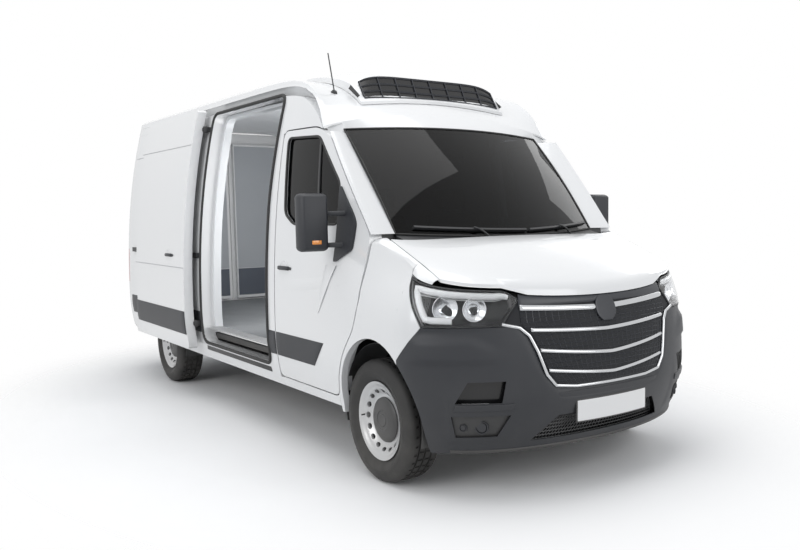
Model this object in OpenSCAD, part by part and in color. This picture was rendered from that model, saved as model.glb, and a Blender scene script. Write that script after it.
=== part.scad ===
// Refrigerated panel van: long wheelbase, raised roof, insulated load space.
// X runs forward, Y to the vehicle's left and Z up. The origin is on the ground
// below the middle of the body. Inside car() x is counted from the front axle.

/* [Body size] */
// Front axle to rear axle
wheelbase = 3682; // [3068:1:4420]
// Front axle to the front of the bumper
front_overhang = 869; // [840:1:900]
// Rear axle to the edge of the rear step
rear_overhang = 1024; // [950:1:1300]
// Width over the body sides
body_w = 2070; // [1725:1:2484]
// Roof crown above the ground
roof_h = 2475; // [2450:1:2970]
// Thickness of a body wall with its frames
wall = 90; // [75:1:108]
// Thickness of the roof shell
roof_t = 60; // [50:1:72]
// Thickness of the insulated lining
liner_t = 60; // [50:1:72]

/* [Doors] */
// Gap round a hinged door
door_gap = 8; // [8:1:10]
// Width of the side opening
side_open_w = 1270; // [1058:1:1300]
// Width of the rear opening
rear_open_w = 1640; // [1400:1:1650]
// Height of the rear opening
rear_open_h = 1810; // [1508:1:1815]
// How far the sliding door stands out from the side
slide_out = 118; // [110:1:125]

/* [Wheels] */
// Outer radius of a tyre
tyre_r = 345; // [335:1:350]
// Width of a tyre
tyre_w = 225; // [188:1:235]
// Radius of the rim flange
rim_r = 221; // [184:1:240]
// Wheel centre inside the body side
wheel_inset = 160; // [150:1:170]
// Wheel centre outboard of the kingpin
scrub = 75; // [70:1:80]
// Radius of a wheel spindle
spindle_r = 28; // [24:1:34]

/* [Cab] */
// Steering wheel radius
steer_r = 195; // [163:1:234]
// Seat width
seat_w = 500; // [420:1:600]

/* [Roof unit] */
// Half width of the condenser housing
unit_hw = 580; // [484:1:640]
// Length of the condenser housing
unit_l = 760; // [640:1:900]

/* [Hidden] */
$fn = 64;

half = body_w / 2;
ky = half / 1035;              // widths of the nose follow the body width
body_l = front_overhang + wheelbase + rear_overhang;
axle_x = body_l / 2 - front_overhang;
rear_x = -wheelbase - rear_overhang;
door_x = rear_x + 46;          // outer face of the rear doors
frame_x = door_x + 60;         // front face of the rear frame
touch = 0.4;                   // bonded panels stand this far apart
run_fit = 0.06;                // a shaft's clearance in its bore
belt_z = 750;                  // widest height
sill_z = 365;
floor_z = 560;
liner_z = floor_z + 45;        // load floor surface
gutter_z = roof_h - 130;
pillar_x = -1189;              // rear edge of a cab door
opening_x = -1325;             // front edge of the side opening
opening_top = gutter_z - 70;
opening_low = 500;
bulk_x = -1275;                // front face of the cargo bulkhead
hub_y = half - wheel_inset;
hub_z = tyre_r;
king_y = hub_y - scrub;

// ---- curves of the body -------------------------------------------------

// Half width of the body at height z
function side_y(z) = half - (z < belt_z ? 50 * pow((belt_z - z) / 400, 2)
    : 90 * pow((z - belt_z) / 1150, 2.2));
function smooth(q) = let (c = max(0, min(1, q))) c * c * (3 - 2 * c);
// The upper body draws in towards the windscreen, ahead of the middle pillar
function cab_y(x, z) = side_y(z)
    - 58 * pow(max(0, (x + 1200) / 1000), 2) * smooth((z - 950) / 500);
// How far the roof has risen at a distance d behind the windscreen
function rise(d, run) = 1 - exp(-max(0, d) / run);
header_z = 2010;
header_x = -676;
function edge_z(x) = header_z + (gutter_z - header_z) * rise(header_x - x, 170);
function edge_y(x) = cab_y(x, edge_z(x));
function roof_drop(u) = (roof_h - gutter_z) * (1 - pow(1 - pow(abs(u), 3), 1 / 3));
// A point of the roof: x along the car, u from -1 at the right edge to 1
function roof_pt(x, u) = let (d = -572 - 104 * u * u - x,
    top = roof_h - roof_drop(u), low = 2037 - 27 * u * u,
    run = 400 - 230 * pow(abs(u), 6))
    [x, u * edge_y(x), low + (top - low) * rise(d, run)];
// The shell thins out towards the windscreen
function shell_t(x) = roof_t * min(1, 0.15 + (-680 - x) / 150);
// The same point moved in by a depth d
function under_roof(x, u, d) = let (q = roof_pt(x, u)) [x, q[1] * (1 - d / edge_y(x)), q[2] - d];
// A point of the windscreen: u across, v up
function glass_x(u, v) = (60 - 158 * u * u) * (1 - v) + (-560 - 108 * u * u) * v
    + 14 * sin(180 * v);
function glass_z(u, v) = (1352 + 23 * u * u) * (1 - v) + (2035 - 25 * u * u) * v
    + 14 * sin(180 * v);
glass_hw = 771 * ky;
function glass_pt(u, v) = [glass_x(u, v), glass_hw * u, glass_z(u, v)];
// Front profile of the nose on the centre line
nose_x = 300;
function nose_f(z) = (z < 560 ? front_overhang - 90 * pow((560 - z) / 270, 1.6)
    : front_overhang - 124 * pow((z - 560) / 546, 1.8)) - nose_x;
function nose_y(z) = side_y(z) - 100 * pow(max(0, min(1.15, (z - 900) / 281)), 2);
// A point of the nose: t turns from -90 at the right side to 90 at the left
function nose_pt(t, z, d = 0) = [nose_x + (nose_f(z) - d) * cos(t),
    sign(t) * (nose_y(z) - d) * pow(abs(sin(t)), 0.952), z];
// Height of the bonnet's skin
function bonnet_z(x, y) = 1357 - 235 * pow(max(0, x - 60) / 655, 1.7)
    - 118 * (1 - exp(-max(0, x) / 185)) * pow(abs(y) / (930 * ky), 2.5);
function bonnet_front(y) = nose_x + 413 * sqrt(max(0, 1 - pow(abs(y) / (930 * ky), 2.8)));
function bonnet_rear(y) = 116 - 100 * pow(y / (850 * ky), 2);
bonnet_hw = 868 * ky;

// ---- outlines in the side view, as [x, z] ---------------------------------

door_front = -380;             // lowest point of a cab door's front edge
cab_door_pts = [[pillar_x, 432], [door_front, 428], [-352, 560], [-286, 690],
    [-214, 780], [-156, 845], [-95, 1000], [-78, 1227], [-84, 1370], [-206, 1518],
    [-580, 1960], [-740, 2024], [pillar_x, 2032]];
cab_glass_pts = [[-1067, 1500], [-940, 1432], [-410, 1432], [-412, 1670],
    [-700, 1966], [-1120, 1984]];
arch_front = [45, 405, 388, 412];
arch_rear = [-wheelbase, 365, 395, 420];

// ---- helpers --------------------------------------------------------------

module car() translate([axle_x, 0, 0]) children();
module right() mirror([0, 1, 0]) children();
module both() {
    children();
    mirror([0, 1, 0]) children();
}
// A prism along y of an [x, z] outline, from y0 to y1
module along_y(pts, y0, y1)
    translate([0, y1, 0]) rotate([90, 0, 0]) linear_extrude(y1 - y0) polygon(pts);
// A prism along x of a [y, z] outline, from x0 to x1
module along_x(pts, x0, x1)
    translate([x0, 0, 0]) rotate([90, 0, 90]) linear_extrude(x1 - x0) polygon(pts);
module block(low, high) translate(low) cube(high - low);

// Corners of an outline turned into short curves of size r
function soften(p, r, n = 4) = [for (i = [0:len(p) - 1]) let (
    a = p[(i + len(p) - 1) % len(p)], b = p[i], c = p[(i + 1) % len(p)],
    s = b + (a - b) / norm(a - b) * min(r, norm(a - b) / 2.1),
    e = b + (c - b) / norm(c - b) * min(r, norm(c - b) / 2.1))
    for (k = [0:n]) let (q = k / n) s * pow(1 - q, 2) + b * 2 * q * (1 - q) + e * q * q];
// An outline moved out by d; its points run anticlockwise
function grow(p, d) = [for (i = [0:len(p) - 1]) let (
    a = p[(i + len(p) - 1) % len(p)], b = p[i], c = p[(i + 1) % len(p)],
    u = (b - a) / norm(b - a), v = (c - b) / norm(c - b),
    m = [u[1] + v[1], -u[0] - v[0]]) b + m * d / (m * [u[1], -u[0]])];
// A wheel arch outline: half an ellipse, its rear edge leaning back below the axle
function arch(a) = concat([for (i = [0:24]) [a[0] + a[2] * cos(i * 7.5),
    a[1] + a[3] * sin(i * 7.5)]], [[a[0] - a[2] - 73, 100], [a[0] + a[2], 100]]);
// Heights at which a side wall bends, so that walls side by side stay parallel
function bends(z0, z1) = concat([z0],
    [for (z = [350:50:750]) if (z > z0 + 1 && z < z1 - 1) z],
    [for (z = [850:100:2950]) if (z > z0 + 1 && z < z1 - 1) z], [z1]);
// Cross-section of a side wall from z0 to z1, its skin d inside the body side
function wall_section(z0, z1, d, t) = there_and_back(
    [for (z = bends(z0, z1)) [side_y(z) - d, z]],
    [for (z = bends(z0, z1)) [side_y(z) - d - t, z]]);
module side_slab(x0, x1, z0, z1, d, t) along_x(wall_section(z0, z1, d, t), x0, x1);

// The same wall over the cab, where it also draws in towards the front
module cab_slab(x0, x1, z0, z1, d, t, n = 9) skin([for (z = bends(z0, z1))
    there_and_back([for (i = [0:n]) let (x = lerp(x0, x1, i / n)) [x, cab_y(x, z) - d, z]],
        [for (i = [0:n]) let (x = lerp(x0, x1, i / n)) [x, cab_y(x, z) - d - t, z]])]);

function signed(p, f) = let (v = [for (q = f) cross(p[q[0]], p[q[1]]) * p[q[2]]])
    v * [for (q = f) 1];
// A closed skin through rings of points, each an outer line and its inner line back
module skin(rings) {
    n = len(rings[0]);
    m = len(rings);
    k = n / 2;
    pts = [for (r = rings) each r];
    walls = [for (j = [0:m - 2], i = [0:n - 1])
        let (a = j * n + i, b = j * n + (i + 1) % n)
        each [[a, b, b + n], [a, b + n, a + n]]];
    ends = [for (i = [0:k - 2]) let (e = (m - 1) * n)
        each [[i, n - 2 - i, i + 1], [i, n - 1 - i, n - 2 - i],
              [e + i, e + i + 1, e + n - 2 - i], [e + i, e + n - 2 - i, e + n - 1 - i]]];
    faces = concat(walls, ends);
    out = signed(pts, faces) > 0;
    polyhedron(pts, out ? [for (f = faces) [f[2], f[1], f[0]]] : faces, convexity = 6);
}
function lerp(a, b, q) = a + (b - a) * q;
function there_and_back(outer, inner) =
    concat(outer, [for (i = [len(inner) - 1:-1:0]) inner[i]]);

// ---- body -----------------------------------------------------------------

module well_cut(side, a, inner, outer) along_y(arch(a), side > 0 ? inner : -outer,
    side > 0 ? outer : -inner);

rail_y = 500 * ky;
module floor_pan() car() color("dimgray") {
    inner = side_y(floor_z - 40) - wall - touch;
    cab_in = side_y(480) - wall - door_gap;
    well_in = hub_y - tyre_w / 2 - 45;
    difference() {
        union() {
            block([frame_x + touch, -inner, floor_z - 40], [bulk_x, inner, floor_z]);
            block([bulk_x, -cab_in, 480], [-62, cab_in, 520]);
            for (s = [-1, 1]) {
                block([rear_x + 110, s * rail_y - 40, 460], [620, s * rail_y + 40, 520]);
                for (x = [-wheelbase - 640, -wheelbase + 640])
                    block([x - 40, s * rail_y - 35, 426], [x + 40, s * rail_y + 35, 470]);
            }
            block([bulk_x - 40, -cab_in, 480], [bulk_x, cab_in, floor_z]);
            block([560, -rail_y, 470], [620, rail_y, 520]);
            for (s = [-1, 1])
                block([arch_rear[0] - 440, s > 0 ? well_in - 25 : -inner, floor_z - 40],
                      [arch_rear[0] + 440, s > 0 ? inner : -well_in + 25, 800]);
        }
        for (s = [-1, 1]) {
            well_cut(s, arch_rear, well_in, half + 50);
            block([-430, s > 0 ? 545 * ky : -half, 400], [0, s > 0 ? half : -545 * ky, 600]);
        }
    }
}

lining_x0 = bulk_x - liner_t - touch;
lining_x1 = frame_x + 50;
roof_xs = concat([for (i = [0:8]) -680 - 75 * i],
    [lining_x0, -1500, -1750, -2100, -2600, lining_x1, frame_x + touch]);
module side_wall_left() difference() {
    intersection() {
        union() {
            side_slab(frame_x + touch, pillar_x + 30, sill_z, gutter_z, 0, wall);
            side_slab(pillar_x - 50, door_front - door_gap, sill_z, 480, 0, wall);
            cab_slab(pillar_x - 11, -690, 1950, gutter_z, 0, wall);
        }
        along_y(concat([[door_front - door_gap, sill_z], [door_front - door_gap, 500], [-690, 1900]],
            [for (x = roof_xs) [x, edge_z(x) - shell_t(x) - 1]],
            [[frame_x + touch, sill_z]]), 600 * ky, half + 60);
    }
    along_y(soften(grow(cab_door_pts, door_gap), 60), 600 * ky, half + 60);
    block([pillar_x - door_gap - 4, 600 * ky, 420], [pillar_x + 40, half + 60, 2020]);
    // the pillar steps back behind its skin to let the door's rear edge swing
    side_slab(pillar_x - door_gap - 23, pillar_x + 30, 470, 2000, 15, wall);
    well_cut(1, arch_rear, 600 * ky, half + 60);
}
module body_side_left() car() color("white") side_wall_left();
side_open = [[opening_x - side_open_w, opening_low], [opening_x, opening_low],
    [opening_x, 1600], [opening_x + 50, opening_top], [opening_x - side_open_w + 20, opening_top]];
module body_side_right() car() color("white") right() difference() {
    side_wall_left();
    along_y(soften(side_open, 70), 500 * ky, half + 60);
}

// Places across the roof, closer together towards its rounded edges
function across(i) = sin(9 * i);
module roof_panel() car() color("white") skin([for (x = roof_xs)
    there_and_back([for (i = [-10:10]) roof_pt(x, across(i))],
        [for (i = [-10:10]) under_roof(x, across(i), shell_t(x))])]);
// Header strip between the windscreen and the roof shell
module roof_header() skin([for (i = [-10:10]) let (u = i / 10, a = glass_pt(u, 1.006),
    b = roof_pt(-680 + touch, u * 0.86))
    there_and_back([a, lerp(a, b, 0.5) + [0, 0, 4], b],
        [[min(a[0] - 7, lerp(a[0], b[0], 0.2)), a[1], a[2] - 30], lerp(a, b, 0.5) - [0, 0, 45],
         b - [0, 0, 50]])]);

// ---- front end ------------------------------------------------------------

function wing_y(x, z) = lerp(cab_y(x, z), nose_y(z),
    pow(max(0, min(1, (x + 200) / 500)), 1.5));
function wing_line(x, d) = let (y0 = bonnet_hw + 8, z0 = bonnet_z(x, y0) - d,
    zs = min(z0 - 50, 1297), ws = wing_y(x, zs) - d)
    concat([for (i = [0:9]) let (z = lerp(330, zs, i / 9)) [x, wing_y(x, z) - d, z]],
        [for (q = [0.35, 0.7, 1])
            [x, pow(1 - q, 2) * ws + 2 * q * (1 - q) * (ws - 4) + q * q * y0,
             pow(1 - q, 2) * zs + 2 * q * (1 - q) * (z0 - 6) + q * q * z0]]);
lamp_t0 = 32;                  // inner end of a headlamp, as t of nose_pt()
lamp_t1 = 71.93;
// A headlamp leans outwards as it rises
function lamp_t(t, z) = t + (t - lamp_t0) * 0.4 * max(0, min(1, (z - 925) / 230));
function lamp_zs(t) = let (low = t < 38 ? lerp(1030, 914.6, (t - lamp_t0) / 6) : 914.6,
    high = t < 36 ? lerp(1050, lamp_high(36), (t - lamp_t0) / 4) : lamp_high(lamp_t(t, 1100)))
    [for (j = [0:5]) lerp(low, high, j / 5)];
function wing_zs(t) = t > 74 ? let (low = bumper_top(t) + 0.6, p = nose_pt(t, 1090))
    [for (j = [0:6]) lerp(low, bonnet_z(p[0], p[1]), j / 6)]
    : concat(lamp_zs(72), [lamp_zs(72)[5] + 24]);
module front_wings() car() color("white") both() difference() {
    union() {
        skin([for (i = [0:12]) let (x = lerp(-460, nose_x + 2.4, i / 12))
            there_and_back(wing_line(x, 0), wing_line(x, 40))]);
        skin([for (i = [0:6]) let (t = 72 + 3 * i) there_and_back(
            [for (z = wing_zs(t)) nose_pt(lerp(lamp_t(72, z), 90, i / 6), z)],
            [for (z = wing_zs(t)) nose_pt(lerp(lamp_t(72, z), 90, i / 6), z, 40)])]);
    }
    well_cut(1, arch_front, 600 * ky, half + 60);
    along_y(soften(grow(cab_door_pts, door_gap), 60), 600 * ky, half + 60);
    block([-500, 600 * ky, 200], [door_front - door_gap + touch, half + 60, 500]);
}

hood_x = 0;                    // bonnet hinge
hood_z = 1311;
hood_r = 6;
module scuttle() car() color("#202224") {
    skin([for (i = [-10:10]) let (u = i / 10, a = glass_pt(u, 0), y = a[1])
        there_and_back([a + [3, 0, -6], a + [20, 0, -14], [bonnet_rear(y) - 12, y, 1336]],
            [a + [-16, 0, -30], a + [10, 0, -40], [bonnet_rear(y) - 12, y, 1308]])]);
    block([-60, -540 * ky, 520 + touch], [-20, 540 * ky, 1300]);
    block([-60, 6 - bonnet_hw, 820], [-20, bonnet_hw - 6, 1325]);
    block([-59, -600 * ky, 1290], [70, 600 * ky, 1312]);
    both() {
        block([-21, 838 * ky, 1296], [12, 846 * ky, 1326]);
        translate([hood_x, 804 * ky, hood_z]) rotate([-90, 0, 0]) cylinder(h = 40 * ky, r = hood_r);
    }
}

pillar_n = 7;
// Front edge of a cab door's window frame, with its gap
function pillar_edge(z) = lerp(-206, -580, (z - 1518) / 449) + door_gap + 6;
module windscreen_pillars() car() color("white") {
    both() skin([for (i = [0:pillar_n]) let (v = i / pillar_n * 0.965, z = lerp(1378, 2008, v),
        x = lerp(-98, -668, v) + 8 * sin(180 * v), w = cab_y(x, z), y0 = glass_hw + touch,
        e = max(x - 20, pillar_edge(z)))
        there_and_back([[x, y0, z], [e + 12, w - 46, z], [e + 14, w - 12, z], [e, w, z]],
            [[x - 45, y0, z], [x - 32, y0 + 25, z], [e - 2 - 30 * max(0, v - 0.2), w - 76, z],
            [e - 1, w - 56, z]])]);
    roof_header();
}
module windscreen() car() color("#33444a") {
    thick = [-6, 0, -6];
    skin([for (i = [-8:8]) let (u = i / 8)
        there_and_back([for (j = [0:6]) glass_pt(u, j / 6)],
            [for (j = [0:6]) glass_pt(u, j / 6) + thick])]);
}

module bonnet() car() color("white") difference() {
    union() {
        bonnet_skin();
        both() along_y([[hood_x - 12, hood_z - 12], [hood_x + 14, hood_z - 12],
            [bonnet_rear(820 * ky) + 40, 1312], [bonnet_rear(820 * ky) + 40, 1326],
            [bonnet_rear(820 * ky) + 4, 1337], [hood_x - 12, hood_z + 12]],
            808 * ky, 832 * ky);
    }
    both() translate([hood_x, 700 * ky, hood_z]) rotate([-90, 0, 0])
        cylinder(h = 160 * ky, r = hood_r + run_fit);
}
bonnet_t = 18;
// Lower front edge of the bonnet, dipping between the headlamps
function lip_z(t) = let (a = abs(t)) a < 31 ? 1047 + 24 * pow(a / 31, 2)
    : a < 36 ? lerp(1071, 1112, (a - 31) / 5) : lerp(1112, 1180, (a - 36) / 51);
function nose_t(y, z) = asin(min(1, pow(abs(y) / nose_y(z), 1.0504)));
function lip_pt(y, q, d) = let (a = lip_z(nose_t(y, 1090)), x0 = bonnet_front(y),
    z0 = bonnet_z(x0, y) - 14, z = lerp(z0, min(a, z0 - 4), q), t = nose_t(y, z))
    [nose_x + (nose_f(z) - d - 4 * (1 - q)) * cos(t), y, z];
function bonnet_line(y, d) = let (a = bonnet_rear(y), b = bonnet_front(y)) concat(
    [for (j = [0:10]) let (x = lerp(a, b - d / 2, j / 10)) [x, y, bonnet_z(x, y) - d]],
    [for (q = [0.2, 0.6, 1]) lip_pt(y, q, d)]);
module bonnet_skin() skin([for (i = [-16:16]) let (y = bonnet_hw * sin(i * 5.625))
    there_and_back(bonnet_line(y, 0), bonnet_line(y, bonnet_t))]);

// Upper edge of the bumper: low behind the grille, under the lamps at the sides
function bumper_top(t) = let (a = abs(t))
    a < 20 ? 596 : a < 23.4 ? lerp(596, 660, (a - 20) / 3.4)
    : a < 28 ? lerp(660, 865, (a - 23.4) / 4.6) : a < 31.6 ? lerp(865, 912, (a - 28) / 3.6)
    : a < 72 ? 914 : lerp(914, 732, (a - 72) / 18);
bumper_a = concat([5, 10, 15, 20, 21.7, 23.4, 25.7, 28, 29.8, 31.6, 33],
    [for (a = [36:3:87]) a], [89.7]);
bumper_ts = concat([for (i = [len(bumper_a) - 1:-1:0]) -bumper_a[i]], [0], bumper_a);
module front_bumper() car() color("#2c2e31") difference() {
    skin([for (t = bumper_ts) let (top = bumper_top(t), d = 50)
        there_and_back([for (j = [0:8]) nose_pt(t, lerp(255, top, j / 8))],
            [for (j = [0:8]) nose_pt(t, lerp(255, top, j / 8), d)])]);
    block([500, -520 * ky, 300], [900, 520 * ky, 376]);
    block([500, -290 * ky, 528], [900, 290 * ky, 592]);
    both() along_y(arch(arch_front), 600 * ky, half + 60);
}
function lamp_high(t) = let (p = nose_pt(t, 1090))
    min(lip_z(t), bonnet_z(p[0], p[1]) - bonnet_t) - 6;
// Half width of the grille at height z, as t of nose_pt()
function grille_t(z) = z < 660 ? lerp(19.9, 23.3, (z - 596) / 64)
    : z < 865 ? lerp(23.3, 27.9, (z - 660) / 205) : z < 915 ? lerp(27.9, 31.4, (z - 865) / 50)
    : z < 1030 ? lerp(37.7, 31.7, (z - 915) / 115) : 31.7;
module grille() car() color("#1d1f22")
    skin([for (z = [596.6, 628, 660, 760, 865, 914.5, 915.2, 970, 1030, 1041])
    there_and_back([for (i = [-12:12]) nose_pt(grille_t(z) * i / 12, z, 10)],
        [for (i = [-12:12]) nose_pt(grille_t(z) * i / 12, z, 50)])]);
lamp_ts = [lamp_t0, 34, 36, 38, 42, 48, 54, 60, 66, lamp_t1];
module headlamps() car() color("#d8dde0") both() skin([for (t = lamp_ts) there_and_back(
    [for (z = lamp_zs(t)) nose_pt(lamp_t(t, z), z, 4)],
    [for (z = lamp_zs(t)) nose_pt(lamp_t(t, z), z, 90)])]);

// ---- cab doors ------------------------------------------------------------

module door_shell() difference() {
    intersection() {
        union() {
            cab_slab(pillar_x - 10, -60, 420, 1450, 0, wall, 11);
            cab_slab(pillar_x - 10, -60, 1440, 2050, 0, 50, 11);
        }
        along_y(soften(cab_door_pts, 55), 600 * ky, half + 60);
    }
    along_y(soften(cab_glass_pts, 45), 600 * ky, half + 60);
}
module cab_door_left() car() color("white") door_shell();
module cab_door_right() car() color("white") right() door_shell();
module pane() intersection() {
    cab_slab(-1150, -380, 1400, 2000, 16, 6);
    along_y(soften(grow(cab_glass_pts, -touch), 45), 600 * ky, half + 60);
}
module door_glass_left() car() color("#33444a") pane();
module door_glass_right() car() color("#33444a") right() pane();
module mirror_shape() {
    intersection() {
        cab_slab(-420, -200, 1190, 1690, -14, 14 - 2 * touch);
        along_y(soften([[-398, 1212], [-226, 1288], [-216, 1440], [-250, 1496],
            [-398, 1662]], 20), 600 * ky, half + 60);
    }
    for (z = [1316, 1496]) hull() for (a = [[-330, cab_y(-330, z) + 13, 16],
        [-395, 1085 * ky, 13]]) translate([a[0], a[1], z]) rotate([90, 0, 0])
            cylinder(h = 8, r = a[2], $fn = 32);
    translate([-400, 0, 1448]) hull() for (y = [1080 * ky, half + 170], z = [-140, 136])
        translate([0, y, z]) scale([2.1, 1, 1]) sphere(27, $fn = 24);
}
module mirror_left() car() color("#2c2e31") mirror_shape();
module mirror_right() car() color("#2c2e31") right() mirror_shape();

// ---- load space -----------------------------------------------------------

door_rear = opening_x - side_open_w - 60;
module sliding_door() car() color("white") right() intersection() {
    side_slab(door_rear - side_open_w - 70, door_rear, 430, gutter_z - 20, -slide_out, 70);
    along_y(soften([[door_rear - side_open_w - 40, 430], [door_rear, 430],
        [door_rear, 1100], [door_rear + 20, gutter_z - 20],
        [door_rear - side_open_w - 20, gutter_z - 20]], 80), 600 * ky, half + 160);
}
// Rail on the right side with the arm that carries the open sliding door
module door_track() car() color("#2c2e31") right() {
    z = 1180;
    y = side_y(z - 20);
    block([frame_x + 140, y + touch, z - 20], [door_rear + 30, y + 18, z + 20]);
    block([door_rear - 700, y + 17, z - 16], [door_rear - 640, y + slide_out - 72, z + 16]);
}

// Outline of the whole body seen from behind, moved in by d
function full_section(d) = let (ye = side_y(gutter_z),
    left = [for (z = bends(sill_z + 60, gutter_z)) [side_y(z) - d, z]]) concat(left,
    [for (i = [9:-1:-9]) let (u = across(i)) [u * (ye - d), roof_h - d - roof_drop(u)]],
    [for (i = [len(left) - 1:-1:0]) [-left[i][0], left[i][1]]]);
rear_top = floor_z - 20 + rear_open_h;
rear_open = [[-rear_open_w / 2, floor_z - 20], [rear_open_w / 2, floor_z - 20],
    [rear_open_w / 2, rear_top], [-rear_open_w / 2, rear_top]];
lamp_y0 = rear_open_w / 2 + 38;
module lamp_cut(d) both() block([door_x - 20, lamp_y0 - d, 860 - d],
    [door_x + 30 + d, side_y(1180) + 60, 1180 + d]);
hinge_y = rear_open_w / 2 + 8;
hinge_x = door_x - 14;
hinge_zs = [700, 1350, 2100];
hinge_h = 60;
pin_r = 7;
// Two ears and a pin that hold a rear door's hinge
module rear_ears() for (z = hinge_zs) {
    translate([hinge_x, hinge_y, z - 14]) cylinder(h = hinge_h + 28, r = pin_r);
    for (e = [z - 14, z + hinge_h + 2])
        block([hinge_x - 8, hinge_y - 8, e], [door_x + 1, hinge_y + 34, e + 12]);
}
module rear_frame() car() color("white") {
    difference() {
        along_x(full_section(0), door_x, frame_x);
        along_x(soften(rear_open, 60), door_x - 10, frame_x + 10);
        lamp_cut(touch);
    }
    both() rear_ears();
}
module tail_lamps() car() color("#a01818") both() intersection() {
    block([door_x, lamp_y0, 860], [door_x + 30, half, 1180]);
    side_slab(door_x - 5, door_x + 40, 850, 1190, 1, 500);
}
module rear_leaf() difference() {
    union() {
        for (z = hinge_zs) {
            translate([hinge_x, hinge_y, z]) cylinder(h = hinge_h, r = 13);
            block([hinge_x + 1, hinge_y - 78, z], [door_x - 5, hinge_y, z + hinge_h]);
            block([hinge_x + 1, hinge_y - 78, z], [door_x + 1, hinge_y - 24, z + hinge_h]);
        }
        along_x(soften([[6, floor_z - 12], [rear_open_w / 2 - 8, floor_z - 12],
            [rear_open_w / 2 - 8, rear_top - 8], [6, rear_top - 8]], 52), door_x, frame_x - 6);
        block([frame_x - 7, 40, liner_z + 20], [frame_x + 45, rear_open_w / 2 - 130, 2230]);
    }
    for (z = hinge_zs) translate([hinge_x, hinge_y, z - 1]) cylinder(h = hinge_h + 2, r = pin_r + run_fit);
}
module rear_door_left() car() color("white") rear_leaf();
module rear_door_right() car() color("white") right() rear_leaf();
module rear_step() car() color("#2c2e31") {
    along_y([[rear_x, 410], [door_x + 54, 400], [door_x + 54, sill_z + 60 - touch],
        [door_x - touch, sill_z + 60 - touch], [door_x - touch, 516], [rear_x + 6, 516],
        [rear_x, 508]], -980 * ky, 980 * ky);
}

wall_in = wall + touch;
ceiling_d = roof_t + 2.5;
// A point of the ceiling lining; its two outer points stop short of the side
function lining_pt(x, i, d) = abs(i) < 9 ? under_roof(x, across(i), d)
    : lerp(under_roof(x, across(i * 8 / 9), d), under_roof(x, across(i), d), 0.7);
lining_xs = [for (x = roof_xs) if (x <= lining_x0 && x >= lining_x1) x];
function ceiling_low(x) = lining_pt(x, 9, ceiling_d + liner_t)[2];
module liner_wall() difference() {
    intersection() {
        side_slab(lining_x1, lining_x0, liner_z - 40, gutter_z, wall_in, liner_t);
        along_y(concat([for (x = lining_xs) [x, ceiling_low(x) - touch]],
            [[lining_x1, 400], [lining_x0, 400]]), 500 * ky, half);
    }
    block([arch_rear[0] - 441, 0, 400], [arch_rear[0] + 441, half, 801]);
}
module liner_walls() car() color("white") {
    liner_wall();
    right() difference() {
        liner_wall();
        along_y(soften(grow(side_open, -30), 70), 500 * ky, half);
    }
}
liner_in = side_y(floor_z) - wall_in - liner_t - touch;
module liner_floor() car() color("#9a9c9e") difference() {
    block([lining_x1, -liner_in, floor_z + touch], [lining_x0, liner_in, liner_z]);
    for (s = [-1, 1])
        block([arch_rear[0] - 441, s > 0 ? hub_y - tyre_w / 2 - 71 : -half, 400],
              [arch_rear[0] + 441, s > 0 ? half : -hub_y + tyre_w / 2 + 71, 900]);
}
module liner_ceiling() car() color("white") skin([for (x = lining_xs)
    there_and_back([for (i = [-9:9]) lining_pt(x, i, ceiling_d)],
        [for (i = [-9:9]) lining_pt(x, i, ceiling_d + liner_t)])]);
module bulkhead_panel() car() color("#b9bcc0") along_x(let (
    left = [for (z = bends(floor_z + touch, 2100)) [side_y(z) - wall_in - 1, z]]) concat(left,
    [for (i = [9:-1:-9]) let (q = under_roof(bulk_x, across(i), roof_t + 6))
        [q[1] * 0.96, q[2]]], [for (i = [len(left) - 1:-1:0]) [-left[i][0], left[i][1]]]),
    bulk_x - liner_t, bulk_x - touch);
evap_z = ceiling_low(bulk_x - liner_t);
module evaporator() car() color("#c9cdd0") along_y(soften([
    [bulk_x - liner_t - touch, evap_z - 190], [bulk_x - liner_t - touch, evap_z],
    [bulk_x - liner_t - 520, evap_z], [bulk_x - liner_t - 520, evap_z - 60]], 30),
    -520 * ky, 520 * ky);

// ---- roof unit, antenna, wipers -------------------------------------------

unit_x = -785;
module condenser_housing() car() color("white") skin([for (i = [-10:10])
    let (u = i / 10, w = unit_hw * u, r = 1 - 0.5 * pow(abs(u), 6), low = 3)
    there_and_back([for (j = [0:8]) let (q = j / 8, x = unit_x - 104 * min(1, q * 3)
            - (unit_l - 104) * max(0, (q - 0.34) / 0.66),
            s = roof_pt(x, w / edge_y(x)),
            top = q < 0.34 ? 2190 + 210 * q * 3 : 2400 + 62 * sin(110 * (q - 0.34) / 0.66))
            [x, w, max(s[2] + low + 20 * (1 - q), (top - s[2]) * r + s[2])]],
        [for (j = [0:8]) let (q = j / 8, x = unit_x - 104 * min(1, q * 3)
            - (unit_l - 104) * max(0, (q - 0.34) / 0.66),
            s = roof_pt(x, w / edge_y(x))) [x, w, s[2] + low]])]);

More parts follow.
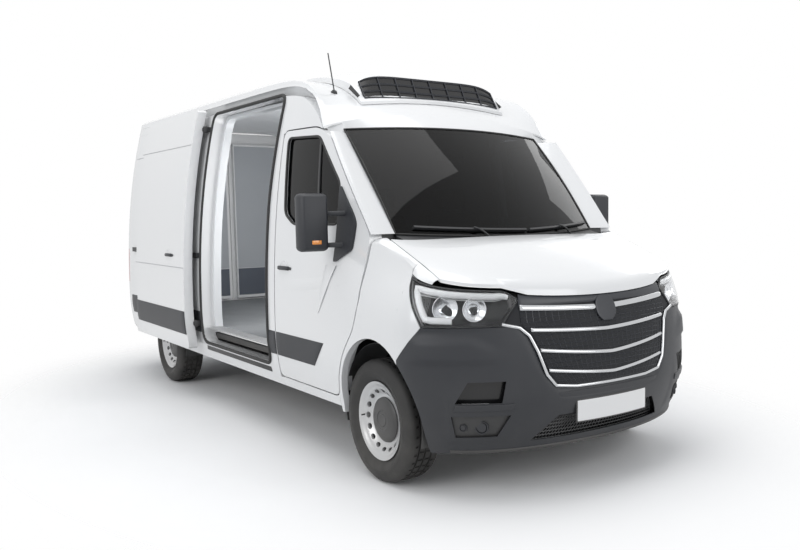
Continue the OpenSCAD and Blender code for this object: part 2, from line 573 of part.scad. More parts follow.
module antenna() car() color("#202224") {
    x = -935;
    u = -0.8;
    b = roof_pt(x, u);
    n = cross(roof_pt(x + 20, u) - roof_pt(x - 20, u), roof_pt(x, u + 0.02) - roof_pt(x, u - 0.02));
    translate(b + n / norm(n) * 0.8) rotate([0, acos(n[2] / norm(n)), atan2(n[1], n[0])])
        cylinder(h = 14, r1 = 22, r2 = 14);
    translate(b + n / norm(n) * 8) rotate([0, -16, 0]) cylinder(h = 262, r = 4);
}
module blade(u0, u1, v0, v1) skin([for (i = [0:8]) let (q = i / 8,
    p = glass_pt(lerp(u0, u1, q), lerp(v0, v1, q)), n = [0.7, 0, 0.7], s = [-5, 0, 5])
    there_and_back([p + n * 1.6 - s, p + n * 1.6 + s], [p + n * 20 - s, p + n * 20 + s])]);
module wipers() car() color("#202224") {
    blade(-0.86, 0.1, 0.05, 0.03);
    blade(0.14, 0.93, 0.03, 0.05);
}

// ---- cab ------------------------------------------------------------------

driver_y = 430 * ky;
wheel_at = [-560, driver_y, 1215];
column_tilt = -32;
column_r = 20;
module dashboard() car() color("#3a3c40") difference() {
    union() {
        along_y(soften([[-60 - touch, 900], [-60 - touch, 1320], [-180, 1346], [-420, 1240],
            [-470, 1120], [-380, 880]], 30), -778 * ky, 778 * ky);
        translate(wheel_at) rotate([0, column_tilt, 0]) translate([0, 0, -300])
            cylinder(h = 210, r = 42);
    }
    translate(wheel_at) rotate([0, column_tilt, 0]) translate([0, 0, -240])
        cylinder(h = 200, r = column_r + run_fit);
}
module seat(w) {
    along_y(soften([[-620, 780], [-1130, 740], [-1150, 860], [-640, 900]], 50), 0, w);
    along_y(soften([[-1100, 800], [-1180, 800], [-1262, 1480], [-1180, 1500]], 30), 0, w);
    block([-1080, 40, 520.4], [-700, w - 40, 770]);
    along_y(soften([[-1190, 1490], [-1262, 1470], [-1268, 1660], [-1200, 1680]], 30),
        w / 2 - 130, w / 2 + 130);
}
module driver_seat() car() color("#34373b") translate([0, driver_y - seat_w / 2, 0])
    seat(seat_w);
module passenger_bench() car() color("#34373b") translate([0, -driver_y - seat_w * 0.9, 0])
    seat(seat_w * 1.8);
module steering_wheel() car() color("#202224") translate(wheel_at) rotate([0, column_tilt, 0]) {
    rotate_extrude() translate([steer_r, 0]) circle(15);
    for (a = [0, 135, 225]) rotate([0, 0, a]) block([30, -20, -8], [steer_r - 8, 20, 6]);
    translate([0, 0, -24]) cylinder(h = 40, r = 62);
    translate([0, 0, -180]) cylinder(h = 170, r = column_r);
}

// ---- chassis --------------------------------------------------------------

module engine_block() car() color("#6b6e72") {
    block([90, -360, 523], [540, 360, 1010]);
    both() block([240, 340, 520 + touch], [340, rail_y + 20, 600]);
}
arm_z = 190;
module front_subframe() car() color("#26282a") {
    block([-130, -470, arm_z], [130, 470, arm_z + 70]);
    for (s = [-1, 1]) {
        block([-60, s * 465 - 30, arm_z + 60], [60, s * 465 + 30, 460 - touch]);
        block([-50, s > 0 ? 460 : -king_y - 40, arm_z + 5],
              [50, s > 0 ? king_y + 40 : -460, arm_z + 45]);
    }
}
module knuckle_shape() {
    translate([0, king_y, arm_z + 45 + touch]) cylinder(h = 180, r = 34);
    block([-55, king_y - 30, hub_z - 60], [55, king_y + 6, hub_z + 80]);
    block([-30, king_y - 150, hub_z + 40], [30, king_y - 10, hub_z + 80]);
    translate([0, king_y - 125, hub_z + 60]) cylinder(h = 360, r = 26);
    translate([0, king_y, hub_z]) rotate([-90, 0, 0]) cylinder(h = scrub + 34, r = spindle_r);
}
module knuckle_left() car() color("#4a4d50") knuckle_shape();
module knuckle_right() car() color("#4a4d50") right() knuckle_shape();
module rear_axle() car() color("#26282a") {
    translate([-wheelbase, -hub_y + scrub + 20, hub_z]) rotate([-90, 0, 0])
        cylinder(h = 2 * (hub_y - scrub - 20), r = 40);
    translate([-wheelbase, -hub_y - 34, hub_z]) rotate([-90, 0, 0])
        cylinder(h = 2 * (hub_y + 34), r = spindle_r);
}
spring_z = hub_z + 40 + touch;
module leaf_springs() car() color("#202224") both() along_y(concat(
    [for (i = [-8:8]) [-wheelbase + i * 85, spring_z + 12 * pow(i / 8, 2)]],
    [for (i = [8:-1:-8]) [-wheelbase + i * 85, spring_z + 28 + 12 * pow(i / 8, 2)]]),
    rail_y - 35, rail_y + 35);
module fuel_tank() car() color("#26282a") along_y(soften([[-2300, 300], [-1450, 300],
    [-1450, floor_z - 40 - touch], [-2300, floor_z - 40 - touch]], 50), 60, rail_y - 60);
module exhaust() car() color("#77706a") {
    translate([-2400, -rail_y + 130, 365]) rotate([0, 90, 0]) cylinder(h = 2200, r = 30);
    translate([-2900, -rail_y + 130, 365]) rotate([0, 90, 0]) cylinder(h = 620, r = 80);
    for (x = [-2600, -700])
        block([x - 20, -rail_y + 115, 390], [x + 20, -rail_y + 145, (x < bulk_x ? floor_z - 40 : 480) - touch]);
}
module spare_wheel() car() color("#202224")
    translate([rear_x + 130 + tyre_r, 0, floor_z - 40 - touch - tyre_w]) difference() {
        cylinder(h = tyre_w, r = tyre_r - 5);
        translate([0, 0, -1]) cylinder(h = 80, r = 180);
    }

// ---- wheels ---------------------------------------------------------------

// Revolved about its own axle, which lies along y; +y is outboard
module on_axle(x, s) translate([x, s * hub_y, hub_z]) rotate([-90 * s, 0, 0]) children();
module rim() rotate_extrude($fn = 96) polygon([[spindle_r + run_fit, -20], [70, -20], [70, 34],
    [150, 34], [188, 62], [200, 62], [208, 30], [208, -66], [216, -84], [rim_r, -92],
    [rim_r, -86], [rim_r - 10, -78], [rim_r - 10, 78], [rim_r, 86], [rim_r, 92],
    [202, 84], [194, 76], [180, 72], [146, 44], [74, 44], [66, 58], [spindle_r + run_fit, 58]]);
module tyre() let (w = tyre_w / 2, r = tyre_r, b = rim_r - 10 + touch) rotate_extrude($fn = 96)
    polygon([[b, -78 + touch], [rim_r + 6, -84], [rim_r + 34, -w + 4], [rim_r + 62, -w],
        [r - 42, -w + 4], [r - 18, -w + 14], [r - 5, -w + 26], [r, -w + 44], [r, w - 44],
        [r - 5, w - 26], [r - 18, w - 14], [r - 42, w - 4], [rim_r + 62, w],
        [rim_r + 34, w - 4], [rim_r + 6, 84], [b, 78 - touch]]);
module front_rim_left() car() color("silver") on_axle(0, 1) rim();
module front_tyre_left() car() color("#1c1d1f") on_axle(0, 1) tyre();
module front_rim_right() car() color("silver") on_axle(0, -1) rim();
module front_tyre_right() car() color("#1c1d1f") on_axle(0, -1) tyre();
module rear_rim_left() car() color("silver") on_axle(-wheelbase, 1) rim();
module rear_tyre_left() car() color("#1c1d1f") on_axle(-wheelbase, 1) tyre();
module rear_rim_right() car() color("silver") on_axle(-wheelbase, -1) rim();
module rear_tyre_right() car() color("#1c1d1f") on_axle(-wheelbase, -1) tyre();

floor_pan();
body_side_left();
body_side_right();
roof_panel();
front_wings();
scuttle();
windscreen_pillars();
windscreen();
bonnet();
front_bumper();
grille();
headlamps();
cab_door_left();
cab_door_right();
door_glass_left();
door_glass_right();
mirror_left();
mirror_right();
sliding_door();
door_track();
rear_frame();
rear_door_left();
rear_door_right();
tail_lamps();
rear_step();
liner_walls();
liner_floor();
liner_ceiling();
bulkhead_panel();
evaporator();
condenser_housing();
antenna();
wipers();
dashboard();
driver_seat();
passenger_bench();
steering_wheel();
engine_block();
front_subframe();
knuckle_left();
knuckle_right();
rear_axle();
leaf_springs();
fuel_tank();
exhaust();
spare_wheel();
front_rim_left();
front_tyre_left();
front_rim_right();
front_tyre_right();
rear_rim_left();
rear_tyre_left();
rear_rim_right();
rear_tyre_right();
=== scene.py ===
import math

import bpy
from mathutils import Matrix, Vector


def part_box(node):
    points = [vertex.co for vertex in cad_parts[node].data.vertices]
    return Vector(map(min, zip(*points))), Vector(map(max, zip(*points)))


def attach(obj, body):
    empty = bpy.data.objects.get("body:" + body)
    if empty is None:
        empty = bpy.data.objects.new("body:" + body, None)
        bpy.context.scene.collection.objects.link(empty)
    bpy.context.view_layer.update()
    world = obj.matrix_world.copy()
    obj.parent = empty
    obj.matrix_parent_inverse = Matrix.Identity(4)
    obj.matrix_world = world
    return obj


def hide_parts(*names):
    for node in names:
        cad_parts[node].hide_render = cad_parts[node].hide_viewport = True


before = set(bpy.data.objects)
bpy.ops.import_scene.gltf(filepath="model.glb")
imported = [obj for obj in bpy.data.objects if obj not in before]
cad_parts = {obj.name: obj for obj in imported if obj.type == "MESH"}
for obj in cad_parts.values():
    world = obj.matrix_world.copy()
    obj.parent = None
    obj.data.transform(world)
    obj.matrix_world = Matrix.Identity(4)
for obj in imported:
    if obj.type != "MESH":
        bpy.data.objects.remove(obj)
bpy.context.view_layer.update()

# ---- studio ---------------------------------------------------------------
# A pale floor that fades into a white surround, soft lamps overhead, round
# about and in the load space, and a camera off the right front corner.

scene = bpy.context.scene
scene.view_settings.view_transform = "Standard"


def clear_selection():
    """Nothing selected, and no piece left in edit mode."""
    if bpy.context.object and bpy.context.object.mode != "OBJECT":
        bpy.ops.object.mode_set(mode="OBJECT")
    bpy.ops.object.select_all(action="DESELECT")


def pick(*pieces):
    """Selects these pieces alone, the last one active."""
    clear_selection()
    for piece in pieces:
        piece.select_set(True)
    bpy.context.view_layer.objects.active = pieces[-1]


def node_tree(material):
    """The material's empty node tree."""
    material.use_nodes = True
    material.node_tree.nodes.clear()
    return material.node_tree


def rays_seen(tree):
    """1 for rays from the camera, from gloss and through glass, 0 for the rest."""
    path = tree.nodes.new("ShaderNodeLightPath")
    total = None
    for ray in ("Is Camera Ray", "Is Glossy Ray", "Is Transmission Ray"):
        if total is None:
            total = path.outputs[ray]
            continue
        more = tree.nodes.new("ShaderNodeMath")
        more.operation = "MAXIMUM"
        tree.links.new(total, more.inputs[0])
        tree.links.new(path.outputs[ray], more.inputs[1])
        total = more.outputs[0]
    return total


surround = bpy.data.worlds.new("surround")
scene.world = surround
surround.use_nodes = True
sky = surround.node_tree
sky.nodes.clear()
lit, shown = (sky.nodes.new("ShaderNodeBackground") for _ in range(2))
lit.inputs["Color"].default_value = (0.93, 0.96, 1.0, 1)
lit.inputs["Strength"].default_value = 0.50
shown.inputs["Color"].default_value = (1, 1, 1, 1)
shown.inputs["Strength"].default_value = 1.0
blend = sky.nodes.new("ShaderNodeMixShader")
sky.links.new(rays_seen(sky), blend.inputs[0])
sky.links.new(lit.outputs[0], blend.inputs[1])
sky.links.new(shown.outputs[0], blend.inputs[2])
sky.links.new(blend.outputs[0], sky.nodes.new("ShaderNodeOutputWorld").inputs["Surface"])

bpy.ops.mesh.primitive_circle_add(vertices=96, radius=14, fill_type="NGON")
floor = bpy.context.object
floor.name = "floor"
floor_paint = bpy.data.materials.new("floor_paint")
tree = node_tree(floor_paint)
where = tree.nodes.new("ShaderNodeTexCoord")
squeeze = tree.nodes.new("ShaderNodeMapping")
squeeze.inputs["Scale"].default_value = (1.0, 1.5, 1.0)
far = tree.nodes.new("ShaderNodeVectorMath")
far.operation = "LENGTH"
fade = tree.nodes.new("ShaderNodeMapRange")
fade.interpolation_type = "SMOOTHSTEP"
fade.inputs["From Min"].default_value = 2.7
fade.inputs["From Max"].default_value = 4.6
mottle = tree.nodes.new("ShaderNodeTexNoise")
mottle.inputs["Scale"].default_value = 3.0
tone = tree.nodes.new("ShaderNodeValToRGB")
tone.color_ramp.elements[0].color = (0.95, 0.95, 0.95, 1)
tone.color_ramp.elements[1].color = (0.97, 0.97, 0.97, 1)
matt = tree.nodes.new("ShaderNodeBsdfDiffuse")
clear = tree.nodes.new("ShaderNodeBsdfTransparent")
mixed = tree.nodes.new("ShaderNodeMixShader")
tree.links.new(where.outputs["Object"], squeeze.inputs["Vector"])
tree.links.new(squeeze.outputs[0], far.inputs[0])
tree.links.new(far.outputs["Value"], fade.inputs["Value"])
tree.links.new(where.outputs["Object"], mottle.inputs["Vector"])
tree.links.new(mottle.outputs["Fac"], tone.inputs["Fac"])
tree.links.new(tone.outputs["Color"], matt.inputs["Color"])
tree.links.new(fade.outputs[0], mixed.inputs[0])
tree.links.new(matt.outputs[0], mixed.inputs[1])
tree.links.new(clear.outputs[0], mixed.inputs[2])
tree.links.new(mixed.outputs[0], tree.nodes.new("ShaderNodeOutputMaterial").inputs["Surface"])
floor.data.materials.append(floor_paint)

for name, spot, size, watts, aim in (
        ("lamp_over", (0.5, -1.0, 7.5), 7.0, 260, (0, 0, 0.8)),
        ("lamp_right", (2.5, -8.5, 4.5), 5.0, 215, (0.2, 0, 1.0)),
        ("lamp_front", (9.0, 2.5, 4.0), 5.0, 170, (1.0, 0, 1.0)),
        ("lamp_left", (-1.5, 8.5, 4.5), 5.0, 150, (0, 0, 1.0)),
        ("lamp_load_space", (0.1, 0, 1.5), 1.1, 17, (-2.6, 0, 1.45))):
    light = bpy.data.lights.new(name, "AREA")
    light.size = size
    light.energy = watts
    lamp = bpy.data.objects.new(name, light)
    scene.collection.objects.link(lamp)
    lamp.location = spot
    lamp.visible_camera = False
    lamp.rotation_euler = (Vector(aim) - Vector(spot)).to_track_quat("-Z", "Y").to_euler()

yaw, pitch, roll = (math.radians(a) for a in (143.481, -5.593, -0.735))
ahead = Vector((math.cos(pitch) * math.cos(yaw), math.cos(pitch) * math.sin(yaw), math.sin(pitch)))
level = ahead.cross(Vector((0, 0, 1))).normalized()
upward = level.cross(ahead)
side_turned = math.cos(roll) * level + math.sin(roll) * upward
up_turned = math.cos(roll) * upward - math.sin(roll) * level
eye = bpy.data.cameras.new("camera")
eye.sensor_width = 36
eye.lens = 37.69
eye.shift_x = -0.0796
eye.shift_y = 0.0245
camera = bpy.data.objects.new("camera", eye)
scene.collection.objects.link(camera)
camera.matrix_world = Matrix.Translation((5.8755, -3.298, 1.492)) @ Matrix(
    (side_turned, up_turned, -ahead)).transposed().to_4x4()
scene.camera = camera

# ---- chassis --------------------------------------------------------------
# Pressed and welded steel: pan, subframe, axle, leaf springs and the tank,
# painted black or left bare, with road dust on what hangs lowest.


def build_road_film():
    """Colour drift, fine grain and the dust that gathers low down, as one group."""
    group = bpy.data.node_groups.new("road_film", "ShaderNodeTree")
    for label, start in (("Drift", 3.0), ("Grain", 300.0)):
        dial = group.interface.new_socket(label, in_out="INPUT", socket_type="NodeSocketFloat")
        dial.default_value = start
    for label in ("Drift", "Grain", "Low"):
        group.interface.new_socket(label, in_out="OUTPUT", socket_type="NodeSocketFloat")
    given = group.nodes.new("NodeGroupInput")
    put = group.nodes.new("NodeGroupOutput")
    spot = group.nodes.new("ShaderNodeTexCoord")
    for label, detail in (("Drift", 3.0), ("Grain", 2.0)):
        noise = group.nodes.new("ShaderNodeTexNoise")
        noise.inputs["Detail"].default_value = detail
        group.links.new(spot.outputs["Object"], noise.inputs["Vector"])
        group.links.new(given.outputs[label], noise.inputs["Scale"])
        group.links.new(noise.outputs["Fac"], put.inputs[label])
        if label == "Drift":
            drift = noise
    split = group.nodes.new("ShaderNodeSeparateXYZ")
    group.links.new(spot.outputs["Object"], split.inputs[0])
    depth = group.nodes.new("ShaderNodeMapRange")
    depth.inputs["From Min"].default_value = 0.75
    depth.inputs["From Max"].default_value = 0.1
    group.links.new(split.outputs["Z"], depth.inputs["Value"])
    patchy = group.nodes.new("ShaderNodeMath")
    patchy.operation = "MULTIPLY"
    group.links.new(depth.outputs[0], patchy.inputs[0])
    group.links.new(drift.outputs["Fac"], patchy.inputs[1])
    group.links.new(patchy.outputs[0], put.inputs["Low"])
    return group


road_film = build_road_film()


def finish_of(name, colour, other, rough, metal=0.0, drift=3.0, grain=300.0, bump=0.1,
              dust=0.3, coat=0.0):
    """A coating or material: two close tones that drift, a grain and some road dust."""
    material = bpy.data.materials.new(name)
    tree = node_tree(material)
    film = tree.nodes.new("ShaderNodeGroup")
    film.node_tree = road_film
    film.inputs["Drift"].default_value = drift
    film.inputs["Grain"].default_value = grain
    shader = tree.nodes.new("ShaderNodeBsdfPrincipled")
    tones = tree.nodes.new("ShaderNodeMix")
    tones.data_type = "RGBA"
    tones.inputs[6].default_value = (*colour, 1)
    tones.inputs[7].default_value = (*other, 1)
    dusty = tree.nodes.new("ShaderNodeMix")
    dusty.data_type = "RGBA"
    dusty.inputs[7].default_value = (0.30, 0.28, 0.25, 1)
    amount = tree.nodes.new("ShaderNodeMath")
    amount.operation = "MULTIPLY"
    amount.inputs[1].default_value = dust
    gloss = tree.nodes.new("ShaderNodeMapRange")
    gloss.inputs["To Min"].default_value = max(0.02, rough - 0.07)
    gloss.inputs["To Max"].default_value = min(1.0, rough + 0.07)
    relief = tree.nodes.new("ShaderNodeBump")
    relief.inputs["Strength"].default_value = bump
    relief.inputs["Distance"].default_value = 0.001
    tree.links.new(film.outputs["Drift"], tones.inputs[0])
    tree.links.new(film.outputs["Low"], amount.inputs[0])
    tree.links.new(tones.outputs[2], dusty.inputs[6])
    tree.links.new(amount.outputs[0], dusty.inputs[0])
    tree.links.new(dusty.outputs[2], shader.inputs["Base Color"])
    tree.links.new(film.outputs["Grain"], gloss.inputs["Value"])
    tree.links.new(gloss.outputs[0], shader.inputs["Roughness"])
    tree.links.new(film.outputs["Grain"], relief.inputs["Height"])
    tree.links.new(relief.outputs[0], shader.inputs["Normal"])
    shader.inputs["Metallic"].default_value = metal
    shader.inputs["Coat Weight"].default_value = coat
    shader.inputs["Coat Roughness"].default_value = 0.04
    tree.links.new(shader.outputs[0], tree.nodes.new("ShaderNodeOutputMaterial").inputs["Surface"])
    return material


def dress(node, material):
    """Gives a frame part that keeps its shape its finish."""
    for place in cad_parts[node].material_slots:
        place.material = material


chassis_black = finish_of("chassis_black", (0.025, 0.026, 0.028), (0.045, 0.045, 0.046), 0.55,
                          grain=180, bump=0.25, dust=0.8)
cast_iron = finish_of("cast_iron", (0.12, 0.12, 0.125), (0.18, 0.17, 0.16), 0.5, metal=0.7,
                      grain=220, bump=0.4, dust=0.5)
pipe_steel = finish_of("pipe_steel", (0.32, 0.30, 0.28), (0.42, 0.36, 0.30), 0.42, metal=0.9,
                       grain=160, bump=0.2, dust=0.5)
for part in ("front_subframe", "rear_axle", "leaf_springs", "fuel_tank", "floor_pan"):
    dress(part, chassis_black)
for part in ("knuckle_left", "knuckle_right", "engine_block"):
    dress(part, cast_iron)
dress("exhaust", pipe_steel)

# ---- wheels ---------------------------------------------------------------
# Pressed steel discs with oval vents and a plain black cap, in ribbed tyres.
# One wheel is made at the left front, and the others are turned copies.

axle_x = sum(corner.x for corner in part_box("front_rim_left")) / 2
rear_axle_x = sum(corner.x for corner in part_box("rear_rim_left")) / 2
hub_y = 0.875
hub_z = 0.345
weld_gap = 0.00004


def edit_whole(piece, work):
    """Runs edit-mode work on the whole of a piece."""
    pick(piece)
    bpy.ops.object.mode_set(mode="EDIT")
    bpy.ops.mesh.select_all(action="SELECT")
    work()
    bpy.ops.object.mode_set(mode="OBJECT")


def face_outwards(piece):
    """Closes seams and turns every face outwards."""
    def work():
        bpy.ops.mesh.remove_doubles(threshold=weld_gap)
        bpy.ops.mesh.normals_make_consistent(inside=False)
    edit_whole(piece, work)


def put_on(piece, material, body, angle=35):
    """Smooths a piece up to that angle, gives it its finish and the body it rides on."""
    pick(piece)
    bpy.ops.object.shade_smooth_by_angle(angle=math.radians(angle))
    piece.data.materials.clear()
    piece.data.materials.append(material)
    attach(piece, body)
    return piece


def shell_of(node, name, material, body="body", angle=35):
    """A frame part's own shape with its triangles joined and its curves smoothed."""
    piece = bpy.data.objects.new(name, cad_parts[node].data.copy())
    scene.collection.objects.link(piece)
    pick(piece)
    bpy.ops.mesh.customdata_custom_splitnormals_clear()
    edit_whole(piece, lambda: bpy.ops.mesh.remove_doubles(threshold=weld_gap))
    put_on(piece, material, body, angle)
    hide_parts(node)
    return piece


def turned(name, section, centre, steps=96, axis=(0, 1, 0), out=(0, 0, 1)):
    """A closed section, as (radius, distance along the axis) in mm, spun round an axis."""
    clear_selection()
    bpy.ops.mesh.primitive_circle_add(vertices=len(section), fill_type="NOTHING")
    piece = bpy.context.object
    piece.name = name
    for vertex, (radius, along) in zip(piece.data.vertices, section):
        vertex.co = Vector(centre) + Vector(out) * radius / 1000 + Vector(axis) * along / 1000
    edit_whole(piece, lambda: bpy.ops.mesh.spin(
        steps=steps, angle=2 * math.pi, center=centre, axis=axis))
    piece.location = (0, 0, 0)
    face_outwards(piece)
    return piece


def cut(piece, tool):
    """Takes a tool's shape out of a piece."""
    trim = piece.modifiers.new("trim", "BOOLEAN")
    trim.operation = "DIFFERENCE"
    trim.solver = "EXACT"
    trim.object = tool
    pick(piece)
    bpy.ops.object.modifier_apply(modifier="trim")
    bpy.data.objects.remove(tool)


def joined(name, pieces):
    """One piece made of several."""
    pick(*pieces)
    bpy.ops.object.join()
    whole = bpy.context.object
    whole.name = name
    bpy.ops.object.transform_apply(location=True, rotation=True, scale=True)
    return whole


def post(radius, length, spot, axis, sides=24, bevel=0.0):
    """A round bar between bevelled ends, its middle at a spot."""
    clear_selection()
    bpy.ops.mesh.primitive_cylinder_add(vertices=sides, radius=radius, depth=length, location=spot)
    bar = bpy.context.object
    bar.rotation_euler = Vector(axis).to_track_quat("Z", "Y").to_euler()
    bpy.ops.object.transform_apply(location=True, rotation=True, scale=True)
    if bevel:
        rounded(bar, bevel)
    return bar


def rounded(piece, width, segments=2):
    """Bevels the sharp edges."""
    edge = piece.modifiers.new("edge", "BEVEL")
    edge.width = width
    edge.segments = segments
    edge.limit_method = "ANGLE"
    pick(piece)
    bpy.ops.object.modifier_apply(modifier="edge")


rubber_black = finish_of("tyre_rubber", (0.010, 0.010, 0.011), (0.018, 0.018, 0.018), 0.68,
                         drift=9, grain=500, bump=0.4, dust=0.22)
wheel_silver = finish_of("wheel_silver", (0.50, 0.51, 0.52), (0.60, 0.60, 0.60), 0.34, metal=0.55,
                         drift=6, grain=700, bump=0.08, dust=0.35, coat=0.3)
cap_black = finish_of("cap_black", (0.020, 0.021, 0.023), (0.035, 0.036, 0.038), 0.38,
                      grain=500, bump=0.12, dust=0.3)
hub = (axle_x, hub_y, hub_z)
half_tread = [(345, 69), (345, 47), (337, 45), (337, 38), (345, 36), (345, 5), (337, 3.5)]
flank = [(211.5, 77.5), (227, 84), (255, 109), (270, 112), (271, 113), (283, 113), (284, 112),
         (303, 109), (327, 99), (340, 87)]
tyre_section = [(r, a) for r, a in flank + half_tread] + [
    (r, -a) for r, a in reversed(flank + half_tread)]
tread_foot, block_degrees = 0.3435, 3
tyre = turned("front_tread_left", tyre_section, hub, steps=120)
bpy.context.tool_settings.mesh_select_mode = (False, False, True)
pick(tyre)
bpy.ops.object.mode_set(mode="EDIT")
bpy.ops.mesh.select_all(action="DESELECT")
bpy.ops.object.mode_set(mode="OBJECT")
for face in tyre.data.polygons:
    middle = face.center - Vector(hub)
    step = int((math.degrees(math.atan2(middle.z, middle.x)) % 360) / block_degrees)
    face.select = math.hypot(middle.x, middle.z) > tread_foot and step % 3 == (
        0 if abs(middle.y) < 0.04 else 1)
bpy.ops.object.mode_set(mode="EDIT")
bpy.ops.mesh.inset(thickness=0.0022, depth=0, use_individual=False)
bpy.ops.mesh.extrude_region_shrink_fatten(
    TRANSFORM_OT_shrink_fatten={"value": -0.006})
bpy.ops.object.mode_set(mode="OBJECT")
tyre.data.materials.append(rubber_black)

disc = bpy.data.objects.new("front_disc_left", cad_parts["front_rim_left"].data.copy())
scene.collection.objects.link(disc)
pick(disc)
bpy.ops.mesh.customdata_custom_splitnormals_clear()
face_outwards(disc)
vents = []
vent_count, vent_ring = 16, 0.166
for i in range(vent_count):
    a = math.tau * i / vent_count
    spot = Vector((axle_x + vent_ring * math.cos(a), hub_y + 0.05, hub_z + vent_ring * math.sin(a)))
    vent = post(0.0105, 0.12, spot, (0, 1, 0), 16)
    for vertex in vent.data.vertices:
        off = vertex.co - spot
        along = Vector((-math.sin(a), 0, math.cos(a)))
        vertex.co = spot + off + along * off.dot(along) * 0.75
    vents.append(vent)
cut(disc, joined("vents", vents))
rounded(disc, 0.0012, 1)
disc.data.materials.clear()
disc.data.materials.append(wheel_silver)
cap_section = [(0, 46), (0, 70), (34, 70), (37, 67), (52, 67), (56, 70), (96, 65), (116, 59),
               (126, 52), (128, 45), (118, 45)]
cap = turned("front_cap_left", cap_section, hub, steps=72)
cap.data.materials.append(cap_black)
valve = post(0.0045, 0.03, (axle_x + 0.187, hub_y + 0.08, hub_z), (0, 1, 0), 12, 0.001)
valve.name = "front_valve_left"
valve.data.materials.append(cap_black)
first_wheel = {"tread": tyre, "disc": disc, "cap": cap, "valve": valve}
for corner, side in (("front", "left"), ("front", "right"), ("rear", "left"), ("rear", "right")):
    for label, piece in first_wheel.items():
        fitted = piece
        if (corner, side) != ("front", "left"):
            fitted = bpy.data.objects.new(f"{corner}_{label}_{side}", piece.data.copy())
            scene.collection.objects.link(fitted)
            move = Matrix.Translation((rear_axle_x if corner == "rear" else axle_x, 0, 0)) @ (
                Matrix.Rotation(math.pi if side == "right" else 0, 4, "Z")) @ (
                Matrix.Translation((-axle_x, 0, 0)))
            fitted.data.transform(move)
        pick(fitted)
        bpy.ops.object.shade_smooth_by_angle(angle=math.radians(32))
        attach(fitted, f"{corner}_wheel_{side}")
        if label == "tread":
            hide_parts(f"{corner}_tyre_{side}")
        if label == "disc":
            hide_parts(f"{corner}_rim_{side}")
spare = shell_of("spare_wheel", "spare_tyre", rubber_black)

# ---- body shell -----------------------------------------------------------
# Pressed steel panels in gloss white over a welded frame, with a black
# scuttle, charcoal rub strips clipped along the sides and plastic arch liners.

strip_low, strip_high = 565, 735
arch_x, arch_z, arch_rise = 12, 0.372, 0.408
wheelbase = 3682
white_paint = finish_of("white_paint", (0.78, 0.79, 0.80), (0.81, 0.81, 0.81), 0.22, drift=1.2,
                        grain=900, bump=0.015, dust=0.22, coat=0.7)
trim_charcoal = finish_of("trim_charcoal", (0.012, 0.014, 0.019), (0.027, 0.029, 0.034), 0.5,
                          grain=900, bump=0.3, dust=0.12)
trim_black = finish_of("trim_black", (0.018, 0.019, 0.021), (0.030, 0.031, 0.033), 0.5,
                       grain=800, bump=0.2, dust=0.3)
seal_rubber = finish_of("seal_rubber", (0.014, 0.014, 0.015), (0.024, 0.024, 0.024), 0.66,
                        grain=600, bump=0.2, dust=0.2)


def at(x, y, z):
    """A place given in mm, forward of the front axle, left of the middle, up."""
    return Vector((axle_x + x / 1000, y / 1000, z / 1000))


def side_y(z):
    """How far out the body side is at height z, in mm."""
    return 1035 - (50 * ((750 - z) / 400) ** 2 if z < 750 else 90 * ((z - 750) / 1150) ** 2.2)


def cab_y(x, z):
    """The same at x, for the cab, which narrows towards the windscreen."""
    q = max(0, min(1, (z - 950) / 500))
    return side_y(z) - 58 * max(0, (x + 1200) / 1000) ** 2 * q * q * (3 - 2 * q)


def thicken(piece, wall):
    """Gives a bare surface its wall, half to each side."""
    layer = piece.modifiers.new("wall", "SOLIDIFY")
    layer.thickness = wall
    layer.offset = 0
    pick(piece)
    bpy.ops.object.modifier_apply(modifier="wall")


def sheet(name, nu, nv, place, wall=0.0, bevel=0.0):
    """A grid laid over a surface: place(u, v) gives its points, u and v from 0 to 1."""
    clear_selection()
    bpy.ops.mesh.primitive_grid_add(x_subdivisions=nu, y_subdivisions=nv, size=1)
    piece = bpy.context.object
    piece.name = name
    for vertex in piece.data.vertices:
        vertex.co = place(vertex.co.x + 0.5, vertex.co.y + 0.5)
    if wall:
        thicken(piece, wall)
        face_outwards(piece)
    if bevel:
        rounded(piece, bevel)
    return piece


def mix(a, b, q):
    """The value q of the way from a to b."""
    return a + (b - a) * q


def strip_on_side(name, side, x0, x1, z0, z1, slant=0.0):
    """A moulding along the body side, from x0 to x1 and z0 to z1, leaning by slant at x1."""
    proud, wall = 3, 14

    def place(u, v):
        z = mix(z0, z1, v)
        x = mix(x0, x1 + slant * (v - 0.5), u)
        return at(x, side * (cab_y(x, z) + proud - 0.5 * wall + 4 * math.sin(math.pi * v)), z)
    return sheet(name, max(4, int(abs(x1 - x0) / 60)), 8, place, wall / 1000, 0.003)


def tube(name, points, radius, closed=False, sides=3):
    """A round bead through these points."""
    line = bpy.data.curves.new(name, "CURVE")
    line.dimensions = "3D"
    run = line.splines.new("POLY")
    run.points.add(len(points) - 1)
    for spot, point in zip(run.points, points):
        spot.co = (*point, 1)
    run.use_cyclic_u = closed
    line.bevel_depth = radius
    line.bevel_resolution = sides
    line.use_fill_caps = True
    piece = bpy.data.objects.new(name, line)
    scene.collection.objects.link(piece)
    pick(piece)
    bpy.ops.object.convert(target="MESH")
    return bpy.context.object


def smooth_loop(outline, pull=60, steps=5):
    """The outline with each corner rounded, as (x, z) pairs."""
    points = []
    count = len(outline)
    for i, corner in enumerate(outline):
        here = Vector(corner)
        back = Vector(outline[i - 1]) - here
        on = Vector(outline[(i + 1) % count]) - here
        reach = min(pull, back.length * 0.45, on.length * 0.45)
        a, b = here + back.normalized() * reach, here + on.normalized() * reach
        for k in range(steps + 1):
            q = k / steps
            points.append(a * (1 - q) ** 2 + here * 2 * q * (1 - q) + b * q * q)
    return points


